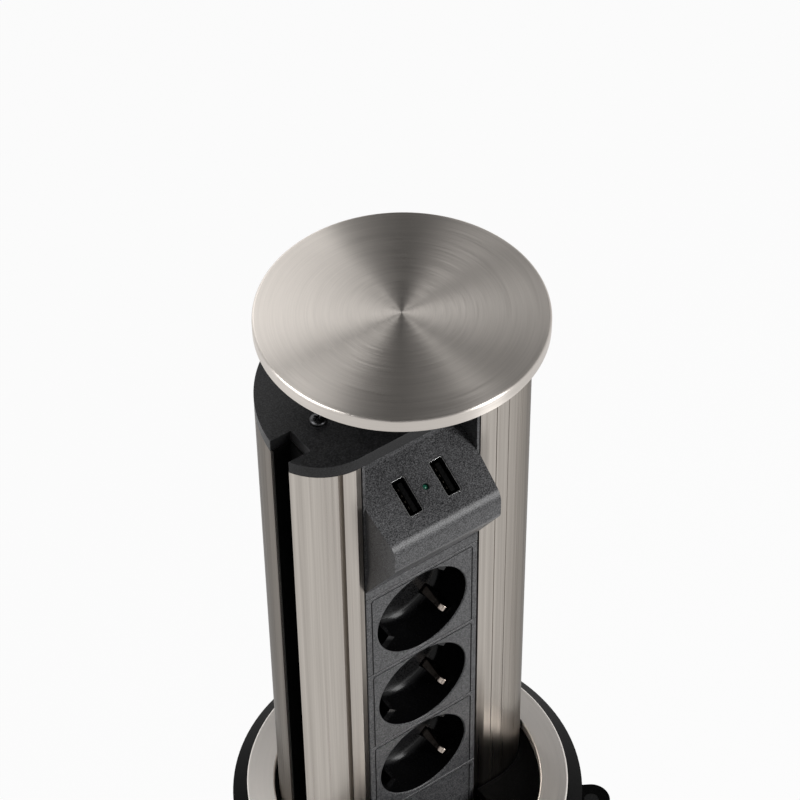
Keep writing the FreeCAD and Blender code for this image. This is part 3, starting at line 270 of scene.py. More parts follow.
@dataclass(frozen=True)
class GrainedPlastic:
    """A moulded plastic with a fine sparkling grain."""

    name: str
    dark: Colour
    light: Colour
    roughness: float = 0.5
    grain_mm: float = 0.35
    bump: float = 0.35
    specular: float = 0.5
    contrast: float = 3.0

    def make(self) -> bpy.types.Material:
        """Build the material and return it."""
        board = NodeBoard(self.name)
        place = board.place()
        grain = board.noise(place, 1000.0 / self.grain_mm, 3.0, 0.62)
        patch = board.noise(place, 60.0, 3.0, 0.5)
        share = ((grain - 0.5) * self.contrast + (patch - 0.5) * 0.3 + 0.36).clamp()
        rough = (grain - 0.5) * 0.3 + (patch - 0.5) * 0.1 + self.roughness
        return board.set(
            Base_Color=board.blend(share, self.dark, self.light),
            Roughness=rough.clamp(0.15, 0.95),
            Specular_IOR_Level=self.specular,
            Normal=board.bump(grain, self.bump, 0.00012),
        )


@dataclass(frozen=True)
class PlainMetal:
    """A plated or pressed metal with slight unevenness."""

    name: str
    light: Colour
    dark: Colour
    roughness: float = 0.25

    def make(self) -> bpy.types.Material:
        """Build the material and return it."""
        board = NodeBoard(self.name)
        place = board.place()
        cloud = board.noise(place, 420.0, 4.0, 0.6)
        scuff = board.noise(board.moved(place, (900.0, 900.0, 200.0)), 1.0, 2.0, 0.5)
        return board.set(
            Base_Color=board.blend(((cloud - 0.5) * 2.0 + 0.5).clamp(), self.dark, self.light),
            Metallic=1.0,
            Roughness=((scuff - 0.5) * 0.25 + self.roughness).clamp(0.05, 0.9),
            Normal=board.bump(cloud, 0.15, 0.00003),
        )


@dataclass(frozen=True)
class GlowLens:
    """A tinted lens over a small lamp that is lit."""

    name: str
    tint: Colour
    glow: float

    def make(self) -> bpy.types.Material:
        """Build the material and return it."""
        board = NodeBoard(self.name)
        cloud = board.noise(board.place(), 1800.0, 2.0, 0.5)
        colour = board.blend(cloud, self.tint, tuple(min(1.0, part * 1.6 + 0.02) for part in self.tint))
        return board.set(
            Base_Color=colour,
            Emission_Color=colour,
            Emission_Strength=self.glow,
            Roughness=0.25,
            Coat_Weight=0.6,
        )


class Finishes:
    """Every material of the tower, made once."""

    def __init__(self) -> None:
        """Build the materials."""
        self.lid = BrushedMetal(
            "turned_lid_steel", (0.66, 0.615, 0.57), (0.50, 0.465, 0.43), Grain.ROUND,
            roughness=0.34, anisotropy=0.9, bump=0.1, contrast=1.5).make()
        self.profile = BrushedMetal(
            "drawn_profile_aluminium", (0.56, 0.52, 0.475), (0.36, 0.33, 0.30), Grain.LENGTHWAYS,
            roughness=0.3, anisotropy=0.7, fineness=0.6, bump=0.08, contrast=2.4, edge_tint=0.28).make()
        self.ring = BrushedMetal(
            "trim_ring_steel", (0.97, 0.92, 0.87), (0.82, 0.775, 0.73), Grain.ROUND,
            roughness=0.4, anisotropy=0.6, bump=0.05, contrast=0.8).make()
        self.anthracite = GrainedPlastic(
            "anthracite_grained", (0.012, 0.012, 0.013), (0.15, 0.15, 0.155),
            roughness=0.34, grain_mm=0.45, bump=0.5, specular=0.3, contrast=3.2).make()
        # Painted shade: the well's floor and wall take near-black copies of the grained plastic, standing in
        # for the shade deep inside each well
        self.floor = GrainedPlastic(
            "well_floor_painted_shade", (0.002, 0.002, 0.002), (0.022, 0.022, 0.023),
            roughness=0.3, grain_mm=0.5, bump=0.3, specular=0.25).make()
        self.well = GrainedPlastic(
            "well_wall_painted_shade", (0.0015, 0.0015, 0.0017), (0.006, 0.006, 0.0065),
            roughness=0.22, grain_mm=0.5, bump=0.06, specular=0.14).make()
        # Partly painted shade: a dark grained plastic, made darker still to stand in for the lid's shadow
        # over the top cap
        self.cap = GrainedPlastic(
            "dark_cap_grain_and_painted_shade", (0.002, 0.002, 0.0022), (0.024, 0.024, 0.025),
            roughness=0.42, grain_mm=0.45, bump=0.45, specular=0.22).make()
        self.black = GrainedPlastic(
            "plain_black_plastic", (0.0012, 0.0012, 0.0012), (0.005, 0.005, 0.005),
            roughness=0.42, grain_mm=0.6, bump=0.12, specular=0.05).make()
        self.grey = GrainedPlastic(
            "plain_grey_plastic", (0.16, 0.16, 0.16), (0.3, 0.3, 0.3), grain_mm=0.6, bump=0.2).make()
        self.rubber = GrainedPlastic(
            "soft_seal_rubber", (0.008, 0.008, 0.008), (0.02, 0.02, 0.02),
            roughness=0.75, grain_mm=0.8, bump=0.3, specular=0.2).make()
        self.felt = GrainedPlastic(
            "dense_felt", (0.02, 0.02, 0.02), (0.09, 0.09, 0.09),
            roughness=0.92, grain_mm=0.3, bump=0.9, specular=0.1).make()
        self.laminate = GrainedPlastic(
            "board_laminate", (0.01, 0.07, 0.03), (0.03, 0.14, 0.06),
            roughness=0.3, grain_mm=1.0, bump=0.1).make()
        self.tape = GrainedPlastic(
            "winding_tape", (0.35, 0.24, 0.04), (0.55, 0.4, 0.09),
            roughness=0.4, grain_mm=1.2, bump=0.2).make()
        self.screw = PlainMetal("blackened_screw_steel", (0.07, 0.07, 0.072), (0.02, 0.02, 0.022), 0.3).make()
        self.port = PlainMetal("pressed_port_steel", (0.42, 0.42, 0.42), (0.2, 0.2, 0.2), 0.28).make()
        self.clip = PlainMetal("plated_clip_metal", (0.50, 0.44, 0.39), (0.26, 0.21, 0.18), 0.2).make()
        self.brass = PlainMetal("contact_brass", (0.75, 0.58, 0.28), (0.55, 0.4, 0.18), 0.25).make()
        self.contact = PlainMetal("dull_port_contacts", (0.20, 0.18, 0.15), (0.08, 0.07, 0.06), 0.4).make()
        self.can = PlainMetal("can_aluminium", (0.7, 0.7, 0.72), (0.5, 0.5, 0.52), 0.3).make()
        self.lens = GlowLens("green_lamp_lens", (0.0, 0.07, 0.04), 0.2).make()


# Camera, floor and light


WHITE = (1.0, 1.0, 1.0, 1.0)


def heading(azimuth: float, elevation: float) -> Vector:
    """The direction towards a camera or lamp, from its angles in degrees."""
    turn, lift = math.radians(azimuth), math.radians(elevation)
    return Vector((math.sin(turn) * math.cos(lift), -math.cos(turn) * math.cos(lift), math.sin(lift)))


@dataclass
class Studio:
    """The photograph's camera, a pale floor, a white surround and soft lamps.

    The surround has a dim ceiling that starts at ceiling_from and a dark screen in the camera's upright
    plane, turned by screen_turn degrees, which the turned lid shows as its two dark sectors.
    """

    focal_px: float = 2833.41
    azimuth: float = -35.0
    elevation: float = 46.05
    roll: float = -0.76
    centre_px: tuple[float, float] = (401.76, 312.5)
    distance_mm: float = 945.63
    lid_top_mm: float = 266.5
    frame_px: float = 800.0
    sensor_mm: float = 36.0
    travel: float = 0.257
    floor_size: float = 8.0
    floor_gap: float = 0.002
    floor_shown: float = 0.95
    fill: float = 0.17
    ceiling: float = 0.22
    ceiling_from: float = 0.3
    ceiling_blend: float = 0.4
    screen: float = 0.04
    screen_turn: float = -3.0
    screen_half: float = 0.02
    screen_blend: float = 0.08
    screen_rise: float = 0.25

    def build(self) -> None:
        """Make the camera, floor, world and lamps."""
        self.camera()
        self.floor()
        self.world()
        self.lamps()

    def camera(self) -> None:
        """Put the camera where the photograph's was."""
        back, roll = heading(self.azimuth, self.elevation), math.radians(self.roll)
        ahead = -back
        right = ahead.cross(Vector((0.0, 0.0, 1.0))).normalized()
        above = right.cross(ahead)
        across = math.cos(roll) * right + math.sin(roll) * above
        upward = -math.sin(roll) * right + math.cos(roll) * above
        half = self.frame_px / 2.0
        aside = (self.centre_px[0] - half) * self.distance_mm / self.focal_px
        rise = -(self.centre_px[1] - half) * self.distance_mm / self.focal_px
        eye = -(aside * across + rise * upward + self.distance_mm * ahead)
        eye.z += self.lid_top_mm
        data = bpy.data.cameras.new("photo_camera")
        data.sensor_width = self.sensor_mm
        data.lens = self.focal_px / self.frame_px * self.sensor_mm
        data.clip_end = 20.0
        camera = bpy.data.objects.new("photo_camera", data)
        bpy.context.scene.collection.objects.link(camera)
        turned = Matrix((across, upward, back)).transposed().to_4x4()
        camera.matrix_world = Matrix.Translation(eye * MM) @ turned
        bpy.context.scene.camera = camera

    def floor(self) -> None:
        """A pale floor that the lowered tower just clears."""
        low = CAD_BOX[0][2] - self.travel
        bpy.ops.object.select_all(action="DESELECT")
        bpy.ops.mesh.primitive_plane_add(size=self.floor_size, location=(0.0, 0.0, low - self.floor_gap))
        floor = bpy.context.object
        floor.name = "studio_floor"
        board = NodeBoard("pale_floor")
        board.set(Base_Color=(0.86, 0.86, 0.86, 1.0), Roughness=0.9, Specular_IOR_Level=0.1)
        seen, _ = board.rays()
        white = board.node("ShaderNodeEmission", {"Color": WHITE, "Strength": 1.0})
        board.finish(seen * self.floor_shown, board.shader, white, "Material Output")
        floor.data.materials.append(board.material)

    def world(self) -> None:
        """A white surround for camera, glossy and transmission rays, and a dim one for all others."""
        world = bpy.data.worlds.new("studio_world")
        bpy.context.scene.world = world
        world.use_nodes = True
        board = NodeBoard("studio_surround", world.node_tree)
        seen, camera = board.rays()
        x, y, z = board.axes(board.out(board.node("ShaderNodeTexCoord"), "Generated"))
        low = (1.0 - (z - self.ceiling_from) / self.ceiling_blend).clamp()
        side = math.radians(self.azimuth + self.screen_turn)
        middle = math.cos(math.radians(self.elevation)) * math.sin(math.radians(self.screen_turn))
        off = board.maths("ABSOLUTE", x * math.cos(side) + y * math.sin(side) - middle)
        beside = ((off - self.screen_half) / self.screen_blend).clamp()
        above = (z / self.screen_rise).clamp()
        open_share = 1.0 - (1.0 - beside) * above
        from_above = low * (1.0 - self.ceiling) + self.ceiling
        strength = from_above * (open_share * (1.0 - self.screen) + self.screen)
        shown = board.maths("MAXIMUM", strength, camera)
        dim = board.node("ShaderNodeBackground", {"Color": WHITE, "Strength": self.fill})
        white = board.node("ShaderNodeBackground", {"Color": WHITE, "Strength": shown})
        board.finish(seen, dim, white, "World Output")

    def lamp(self, name: str, towards: Vector, distance: float, size: tuple[float, float], power: float,
             height: float) -> None:
        """Add one soft area lamp that faces the tower, out of the camera's sight.

        Args:
            name: the lamp's name.
            towards: the direction in which it stands.
            distance: how far it stands, in metres.
            size: its width and height in metres.
            power: its power in watts.
            height: the height on the tower's axis that it faces, in metres.
        """
        data = bpy.data.lights.new(name, "AREA")
        data.shape = "RECTANGLE"
        data.size, data.size_y = size
        data.energy = power
        lamp = bpy.data.objects.new(name, data)
        bpy.context.scene.collection.objects.link(lamp)
        lamp.location = towards * distance + Vector((0.0, 0.0, height))
        lamp.visible_camera = False
        lamp.rotation_euler = towards.to_track_quat("Z", "Y").to_euler()

    def lamps(self) -> None:
        """A tall lamp in front, and two small near ones for the left half of the lid."""
        self.lamp("front_lamp", heading(25.0, 24.0), 1.4, (0.4, 0.9), 16.0, 0.12)
        small = (0.15, 0.15)
        self.lamp("lid_lamp_back", heading(180.0, 30.0), 0.2, small, 0.1, 0.26)
        self.lamp("lid_lamp_left", heading(-106.0, 39.0), 0.22, small, 0.35, 0.26)


# Shaping tools


Corner = tuple[float, float, float]
Spot = tuple[float, float]


class Plane(Enum):
    """The plane that an outline is drawn in, and so the way it is raised."""

    FRONT = "X and Z, raised along Y"
    FLOOR = "X and Y, raised along Z"
    SIDE = "Y and Z, raised along X"

    def point(self, first: float, second: float, off: float) -> Vector:
        """Place a point of an outline at a distance off its plane, in metres."""
        spots = {
            Plane.FRONT: (first, off, second),
            Plane.FLOOR: (first, second, off),
            Plane.SIDE: (off, first, second),
        }
        return Vector(spots[self]) * MM


class Axis(Enum):
    """The line that a profile is turned about."""

    UPRIGHT = (0.0, 0.0, 1.0)
    DEEP = (0.0, 1.0, 0.0)

    def point(self, radius: float, along: float) -> Vector:
        """Place a point of a profile beside the axis, in metres."""
        if self is Axis.UPRIGHT:
            return Vector((radius, 0.0, along)) * MM
        return Vector((radius, along, 0.0)) * MM


def rounded(corners: Sequence[Corner], steps: int = 6) -> list[Spot]:
    """Round the corners of a closed outline.

    Args:
        corners: each corner's two coordinates and its rounding radius.
        steps: how many points a rounded corner gets.

    Returns:
        The outline's points in order.
    """
    points: list[Spot] = []
    count = len(corners)
    for index, (first, second, radius) in enumerate(corners):
        here = Vector((first, second))
        if radius <= 0.0:
            points.append((first, second))
            continue
        before = (Vector(corners[index - 1][:2]) - here).normalized()
        after = (Vector(corners[(index + 1) % count][:2]) - here).normalized()
        half = before.angle(after) / 2.0
        reach = radius / math.tan(half)
        centre = here + (before + after).normalized() * (radius / math.sin(half))
        start, end = here + before * reach - centre, here + after * reach - centre
        sweep = start.angle_signed(end)
        for step in range(steps + 1):
            turn = Matrix.Rotation(-sweep * step / steps, 2)
            spot = centre + turn @ start
            points.append((spot.x, spot.y))
    return points


def panel(across: Spot, up: Spot, rounding: float = 0.0, steps: int = 6) -> list[Spot]:
    """The outline of a rectangle with rounded corners."""
    corners = [(across[0], up[0]), (across[1], up[0]), (across[1], up[1]), (across[0], up[1])]
    return rounded([(first, second, rounding) for first, second in corners], steps)


def on_circle(radius: float, degrees: float) -> Spot:
    """The place at an angle on a circle about the origin."""
    return radius * math.cos(math.radians(degrees)), radius * math.sin(math.radians(degrees))


def ribbed(count: int, beyond: float = 0.0) -> Callable[[bmesh.types.BMFace], bool]:
    """Choose the upright faces that become ribs on a round piece.

    Args:
        count: how many ribs go round.
        beyond: the radius in millimetres outside which faces count.

    Returns:
        A test for a face.
    """
    def chosen(face: bmesh.types.BMFace) -> bool:
        """Tell whether a face lies in the first half of its rib's step."""
        centre = face.calc_center_median() / MM
        step = math.degrees(math.atan2(centre.y, centre.x)) % (360.0 / count)
        outside = math.hypot(centre.x, centre.y) > beyond
        return outside and abs(face.normal.z) < 0.1 and step < 180.0 / count

    return chosen


class Shape:
    """A mesh that is shaped in place and in millimetres, then dressed."""

    def __init__(self, made: bpy.types.Object, name: str) -> None:
        """Wrap an object and name it.

        Args:
            made: the object.
            name: its name.
        """
        self.object = made
        made.name = made.data.name = name

    @classmethod
    def outline(cls, name: str, points: Sequence[Vector], filled: bool) -> "Shape":
        """Add a circle and move its corners to an outline, and leave it in edit mode."""
        fill = "NGON" if filled else "NOTHING"
        bpy.ops.object.select_all(action="DESELECT")
        bpy.ops.mesh.primitive_circle_add(vertices=len(points), radius=0.01, fill_type=fill)
        shape = cls(bpy.context.object, name)
        for vertex, point in zip(shape.object.data.vertices, points):
            vertex.co = point
        bpy.ops.object.mode_set(mode="EDIT")
        bpy.ops.mesh.select_all(action="SELECT")
        return shape

    @classmethod
    def turned(cls, name: str, profile: Sequence[Spot], axis: Axis = Axis.UPRIGHT,
               steps: int = 96) -> "Shape":
        """Turn a closed profile about an axis through the origin.

        Args:
            name: the object's name.
            profile: radius and place along the axis of each point.
            axis: the line to turn about.
            steps: how many steps make the round.

        Returns:
            The turned shape.
        """
        shape = cls.outline(name, [axis.point(*spot) for spot in profile], False)
        bpy.ops.mesh.spin(steps=steps, angle=math.tau, center=(0.0, 0.0, 0.0), axis=axis.value)
        bpy.ops.mesh.select_all(action="SELECT")
        bpy.ops.mesh.remove_doubles(threshold=1e-6)
        bpy.ops.mesh.dissolve_degenerate(threshold=1e-6)
        bpy.ops.mesh.normals_make_consistent(inside=False)
        bpy.ops.object.mode_set(mode="OBJECT")
        return shape

    @classmethod
    def rod(cls, name: str, radius: float, span: Spot, axis: Axis, steps: int = 96) -> "Shape":
        """A round rod about an axis through the origin, between two places along it."""
        low, high = span
        return cls.turned(name, [(0.0, low), (radius, low), (radius, high), (0.0, high)], axis, steps)

    @classmethod
    def prism(cls, name: str, points: Sequence[Spot], span: Spot, plane: Plane) -> "Shape":
        """Raise a filled outline between two distances off its plane.

        Args:
            name: the object's name.
            points: the outline.
            span: where the raising starts and ends.
            plane: the outline's plane.

        Returns:
            The solid.
        """
        low, high = span
        shape = cls.outline(name, [plane.point(*spot, low) for spot in points], True)
        bpy.ops.mesh.extrude_region_move(TRANSFORM_OT_translate={"value": plane.point(0.0, 0.0, high - low)})
        bpy.ops.mesh.select_all(action="SELECT")
        bpy.ops.mesh.normals_make_consistent(inside=False)
        bpy.ops.object.mode_set(mode="OBJECT")
        return shape

    @classmethod
    def block(cls, name: str, across: Spot, along: Spot, up: Spot, rounding: float = 0.0) -> "Shape":
        """A box between two distances on each axis, with the corners of its front rounded."""
        return cls.prism(name, panel(across, up, rounding), along, Plane.FRONT)

    @classmethod
    def softened(cls, name: str, node: str, width: float, steps: int = 2, angle: float = 40.0) -> "Shape":
        """Copy a CAD node, join its loose triangles and round its edges.

        Args:
            name: the new object's name.
            node: the CAD node to copy.
            width: the rounding's width.
            steps: the rounding's segments.
            angle: the least angle between faces that is rounded, in degrees.

        Returns:
            The rounded copy.
        """
        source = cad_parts[node]
        copy = bpy.data.objects.new(name, source.data.copy())
        bpy.context.scene.collection.objects.link(copy)
        copy.data.materials.clear()
        shape = cls(copy, name)
        shape.edit()
        bpy.ops.mesh.select_all(action="SELECT")
        bpy.ops.mesh.remove_doubles(threshold=2e-6)
        bpy.ops.mesh.dissolve_limited(angle_limit=math.radians(0.5))
        bpy.ops.object.mode_set(mode="OBJECT")
        return shape.soften(width, steps, angle)

    def activate(self) -> None:
        """Make this the one selected object."""
        bpy.ops.object.select_all(action="DESELECT")
        self.object.select_set(True)
        bpy.context.view_layer.objects.active = self.object

    def edit(self) -> bmesh.types.BMesh:
        """Enter edit mode with nothing selected.

        Returns:
            The mesh being edited.
        """
        self.activate()
        bpy.ops.object.mode_set(mode="EDIT")
        bpy.ops.mesh.select_all(action="DESELECT")
        return bmesh.from_edit_mesh(self.object.data)

    def modify(self, kind: str, **settings: object) -> "Shape":
        """Add a modifier and apply it."""
        self.activate()
        made = self.object.modifiers.new(kind, kind)
        for key, setting in settings.items():
            setattr(made, key, setting)
        bpy.ops.object.modifier_apply(modifier=made.name)
        return self

    def soften(self, width: float, steps: int = 2, angle: float = 35.0) -> "Shape":
        """Round every edge sharper than an angle."""
        return self.modify("BEVEL", width=width * MM, segments=steps, limit_method="ANGLE",
                           angle_limit=math.radians(angle), use_clamp_overlap=True, miter_outer="MITER_ARC")

    def cut(self, *tools: "Shape") -> "Shape":
        """Take other shapes away and delete them."""
        return self.combine("DIFFERENCE", tools)

    def add(self, *tools: "Shape") -> "Shape":
        """Unite with other shapes and delete them."""
        return self.combine("UNION", tools)

    def combine(self, operation: str, tools: Iterable["Shape"]) -> "Shape":
        """Apply one Boolean modifier for each tool and delete the tool."""
        for tool in tools:
            self.modify("BOOLEAN", operation=operation, object=tool.object, solver="EXACT")
            bpy.data.objects.remove(tool.object)
        return self

    def round_edges(self, chosen: Callable[[Vector], bool], width: float, steps: int = 5) -> "Shape":
        """Bevel the edges whose two ends are both chosen by place, in millimetres."""
        mesh = self.edit()
        for edge in mesh.edges:
            if all(chosen(vertex.co / MM) for vertex in edge.verts):
                edge.select = True
        mesh.select_flush_mode()
        bmesh.update_edit_mesh(self.object.data)
        bpy.ops.mesh.bevel(offset=width * MM, segments=steps, affect="EDGES")
        bpy.ops.object.mode_set(mode="OBJECT")
        return self

    def inset(self, chosen: Callable[[bmesh.types.BMFace], bool], thickness: float, depth: float = 0.0,
              apart: bool = True) -> "Shape":
        """Inset faces chosen in code, and push them in or out.

        Args:
            chosen: tells whether a face is taken.
            thickness: the inset's width.
            depth: how far the inner face moves out.
            apart: inset each face on its own.

        Returns:
            The same shape.
        """
        mesh = self.edit()
        for face in mesh.faces:
            face.select = chosen(face)
        bmesh.update_edit_mesh(self.object.data)
        bpy.ops.mesh.inset(thickness=thickness * MM, depth=depth * MM, use_individual=apart)
        bpy.ops.object.mode_set(mode="OBJECT")
        return self

    def move(self, matrix: Matrix) -> "Shape":
        """Move or turn the mesh itself, with lengths in millimetres."""
        turned = matrix.copy()
        turned.translation = matrix.translation * MM
        self.object.data.transform(turned)
        if matrix.determinant() < 0.0:
            self.object.data.flip_normals()
        return self

    def copied(self, name: str, matrix: Matrix) -> "Shape":
        """Copy the shape with its own mesh and move the copy."""
        copy = self.object.copy()
        copy.data = self.object.data.copy()
        bpy.context.scene.collection.objects.link(copy)
        return Shape(copy, name).move(matrix)

    def joined(self, others: Iterable["Shape"]) -> "Shape":
        """Merge other shapes into this object as separate shells."""
        self.activate()
        for other in others:
            other.object.select_set(True)
        bpy.ops.object.join()
        return self

    def paint(self, material: bpy.types.Material, chosen: Callable[[Vector], bool] | None = None) -> "Shape":
        """Give all faces a material, or those whose centres are chosen by place."""
        data = self.object.data
        data.materials.append(material)
        slot = len(data.materials) - 1
        for face in data.polygons:
            if chosen is None or chosen(face.center / MM):
                face.material_index = slot
        return self

    def smooth(self, angle: float = 35.0) -> "Shape":
        """Shade smooth where faces meet at less than an angle."""
        self.activate()
        bpy.ops.object.shade_smooth_by_angle(angle=math.radians(angle))
        return self

    def seat(self, body: str, slot: str, *nodes: str) -> "Shape":
        """Ride on a body, stand for CAD nodes, and report.

        Args:
            body: the body that carries the piece.
            slot: the record's material slot; not used.
            nodes: the CAD nodes that the piece replaces.

        Returns:
            The same shape.
        """
        self.smooth().modify("WEIGHTED_NORMAL", keep_sharp=True, mode="FACE_AREA", weight=50)
        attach(self.object, body)
        if nodes:
            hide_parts(*nodes)
        LOG.info("%s on %s, %d faces", self.object.name, body, len(self.object.data.polygons))
        return self


def shift(x: float = 0.0, y: float = 0.0, z: float = 0.0) -> Matrix:
    """A move, in millimetres."""
    return Matrix.Translation((x, y, z))


def spin(degrees: float, axis: str = "Z") -> Matrix:
    """A turn about an axis through the origin."""
    return Matrix.Rotation(math.radians(degrees), 4, axis)


def arc(centre: Spot, radius: float, start: float, end: float, steps: int) -> list[Spot]:
    """Points along an arc between two angles in degrees."""
    points = []
    for step in range(steps + 1):
        angle = math.radians(start + (end - start) * step / steps)
        points.append((centre[0] + radius * math.cos(angle), centre[1] + radius * math.sin(angle)))
    return points


# Sub-assemblies


@dataclass
class Lid:
    """The turned steel lid."""

    finishes: Finishes
    radius: float = 50.2
    base: float = 261.3
    top: float = 266.5
    skin: float = 1.5
    lower_round: float = 0.6
    upper_round: float = 0.9

    def build(self) -> None:
        """Turn the dish and dress it."""
        inner, under = self.radius - self.skin, self.top - self.skin
        profile = rounded([
            (0.0, under, 0.0),
            (inner, under, 0.0),
            (inner, self.base, 0.0),
            (self.radius, self.base, self.lower_round),
            (self.radius, self.top, self.upper_round),
            (0.0, self.top, 0.0),
        ], 8)
        lid = Shape.turned("turned_lid", profile, steps=192)
        lid.paint(self.finishes.lid).seat("tower", "lid_steel", "lid_disc")


@dataclass
class TrimRing:
    """The steel ring that lies in the flange round the opening."""

    finishes: Finishes
    inner: float = 53.0
    outer: float = 64.0
    seat: float = 5.0
    top: float = 9.4
    inner_round: float = 0.7
    outer_round: float = 0.8

    def build(self) -> None:
        """Turn the ring and dress it."""
        profile = rounded([
            (self.inner, self.seat, 0.0),
            (self.outer, self.seat, 0.0),
            (self.outer, self.top, self.outer_round),
            (self.inner, self.top, self.inner_round),
        ], 6)
        ring = Shape.turned("steel_trim_ring", profile, steps=192)
        ring.paint(self.finishes.ring).seat("flange", "ring_steel", "trim_ring")


@dataclass
class SocketStrip:
    """The strip's plates: three sockets, the spacer above them and the blank plate below."""

    finishes: Finishes
    strip_x: float = -4.5
    half: float = 24.75
    front: float = -17.3
    shoulder: Spot = (-15.7, -13.5)
    shoulder_half: float = 27.5
    first_top: float = 153.35
    strip_top: float = 158.0
    pitch: float = 43.5
    gap: float = 0.3
    bottom: float = -65.7
    well: float = 19.75
    floor: float = -0.3
    floor_back: float = 1.7
    floor_round: float = 4.5
    rim_round: float = 0.7
    wall: float = 1.75
    line_in: float = 2.2
    line_down: float = 1.2
    line_wide: float = 0.5
    line_deep: float = 0.5
    line_round: float = 1.6
    edge: float = 0.4
    spacer_edge: float = 0.25
    line_edge: float = 0.14
    line_angle: float = 60.0
    key_wide: float = 3.6
    key_start: float = -13.3
    key_reach: float = 15.75
    pin_radius: float = 2.7
    pin_reach: float = 9.5
    pin_flare: float = 0.9
    slit: Spot = (16.35, 19.75)
    slit_wide: float = 4.6
    boss_place: Spot = (18.5, -18.0)
    boss_radius: float = 2.6
    boss_back: float = 4.3
    barrel_front: float = -15.0
    hole_back: float = 3.0

    def build(self) -> None:
        """Make the sockets, the spacer and the blank plate."""
        middle = self.first_top - self.pitch / 2.0
        low, high = self.first_top - self.pitch + self.gap, self.first_top
        first = self.socket(low, high, middle)
        for index in (1, 2):
            first.copied(f"socket_face_{index + 1}", shift(z=-index * self.pitch)).seat(
                "tower", "anthracite_plastic", f"socket_front_{index + 1}")
        first.seat("tower", "anthracite_plastic", "socket_front_1")
        spacer = self.plate("spacer_plate", self.first_top + self.gap, self.strip_top)
        spacer.soften(self.spacer_edge).paint(self.finishes.anthracite)
        spacer.seat("tower", "anthracite_plastic", "spacer_strip")
        top = self.first_top - 3.0 * self.pitch
        blank = self.plate("blank_plate", self.bottom, top).soften(self.edge, 3)
        blank.cut(self.line("blank_line", self.bottom, top)).soften(self.line_edge, 2, self.line_angle)
        blank.paint(self.finishes.anthracite).seat("tower", "anthracite_plastic", "blank_panel")

    def plate(self, name: str, low: float, high: float) -> Shape:
        """A faceplate with its wider shoulder.

        Args:
            name: the object's name.
            low: its lower end.
            high: its upper end.

        Returns:
            The plate.
        """
        near, far = self.shoulder
        outline = [(-self.shoulder_half, far), (self.shoulder_half, far), (self.shoulder_half, near),
                   (self.half, near), (self.half, self.front), (-self.half, self.front), (-self.half, near),
                   (-self.shoulder_half, near)]
        return Shape.prism(name, [(x + self.strip_x, y) for x, y in outline], (low, high), Plane.FLOOR)

    def line(self, name: str, low: float, high: float) -> Shape:
        """The thin line inside a plate's sides and top, as a cutter."""
        def gate(inset: float, base: float, rounding: float) -> list[Spot]:
            """An outline with rounded upper corners, inset from the plate's edge."""
            left, right = self.strip_x - self.half + inset, self.strip_x + self.half - inset
            top = high - self.line_down - (inset - self.line_in)
            return rounded([(left, base, 0.0), (right, base, 0.0),
                            (right, top, rounding), (left, top, rounding)])

        near, far = self.front - 1.0, self.front + self.line_deep
        outer = Shape.prism(name, gate(self.line_in, low - 1.0, self.line_round), (near, far), Plane.FRONT)
        core = gate(self.line_in + self.line_wide, low - 2.0, self.line_round - self.line_wide)
        return outer.cut(Shape.prism(name + "_core", core, (near - 1.0, far + 1.0), Plane.FRONT))

    def bar(self, name: str, middle: float, angle: float, reach: Spot, wide: float, deep: Spot) -> Shape:
        """A bar along the well's radius at an angle, between two radii and two depths."""
        bar = Shape.block(name, reach, deep, (-wide / 2.0, wide / 2.0))
        return bar.move(shift(self.strip_x, 0.0, middle) @ spin(-angle, "Y"))

    def socket(self, low: float, high: float, middle: float) -> Shape:
        """One socket: faceplate, well, keys, pin holes and slits.

        Args:
            low: the faceplate's lower end.
            high: its upper end.
            middle: the well's height.

        Returns:
            The socket, dressed.
        """
        centre = shift(self.strip_x, 0.0, middle)
        face = self.plate("socket_face_1", low, high).soften(self.edge, 3)
        face.cut(self.line("face_line", low, high)).soften(self.line_edge, 2, self.line_angle)
        barrel_span = (self.barrel_front, self.floor_back)
        face.add(Shape.rod("well_barrel", self.well + self.wall, barrel_span, Axis.DEEP).move(centre))
        aside, rise = self.boss_place
        boss_span = (self.barrel_front, self.boss_back)
        for number, sign in enumerate((1.0, -1.0)):
            boss = Shape.rod(f"screw_boss_{number}", self.boss_radius, boss_span, Axis.DEEP, 32)
            face.add(boss.move(centre @ shift(sign * aside, 0.0, sign * rise)))
        face.cut(Shape.turned("well_hollow", self.hollow(), Axis.DEEP, 128).move(centre))
        for angle in (45.0, 225.0):
            face.add(self.bar("guide_key", middle, angle, (self.key_reach, self.well + 1.0), self.key_wide,
                              (self.key_start, self.floor_back)))
        for angle in (45.0, 225.0):
            across, up = on_circle(self.pin_reach, angle)
            hole = Shape.turned("pin_hole", self.flare(), Axis.DEEP, 48)
            face.cut(hole.move(centre @ shift(across, 0.0, up)))
        for angle in (-45.0, 135.0):
            face.cut(self.bar("clip_slit", middle, angle, self.slit, self.slit_wide,
                              (self.floor - self.floor_round - 1.0, self.hole_back)))
        return self.painted(face, middle)

    def hollow(self) -> list[Spot]:
        """The profile of the room in a well, with a rounded rim and a rounded floor."""
        rim, turn = self.well + self.rim_round, self.floor_round
        points = [(0.0, self.front - 1.0), (rim, self.front - 1.0), (rim, self.front)]
        points += arc((rim, self.front + self.rim_round), self.rim_round, 270.0, 180.0, 5)[1:]
        points += arc((self.well - turn, self.floor - turn), turn, 0.0, 90.0, 8)
        return points + [(0.0, self.floor)]

    def flare(self) -> list[Spot]:
        """The profile of a pin hole that is wider at the well's floor."""
        mouth = self.pin_radius + self.pin_flare
        return [(0.0, self.floor - 1.0), (mouth, self.floor - 1.0), (mouth, self.floor),
                (self.pin_radius, self.floor + self.pin_flare), (self.pin_radius, self.hole_back),
                (0.0, self.hole_back)]

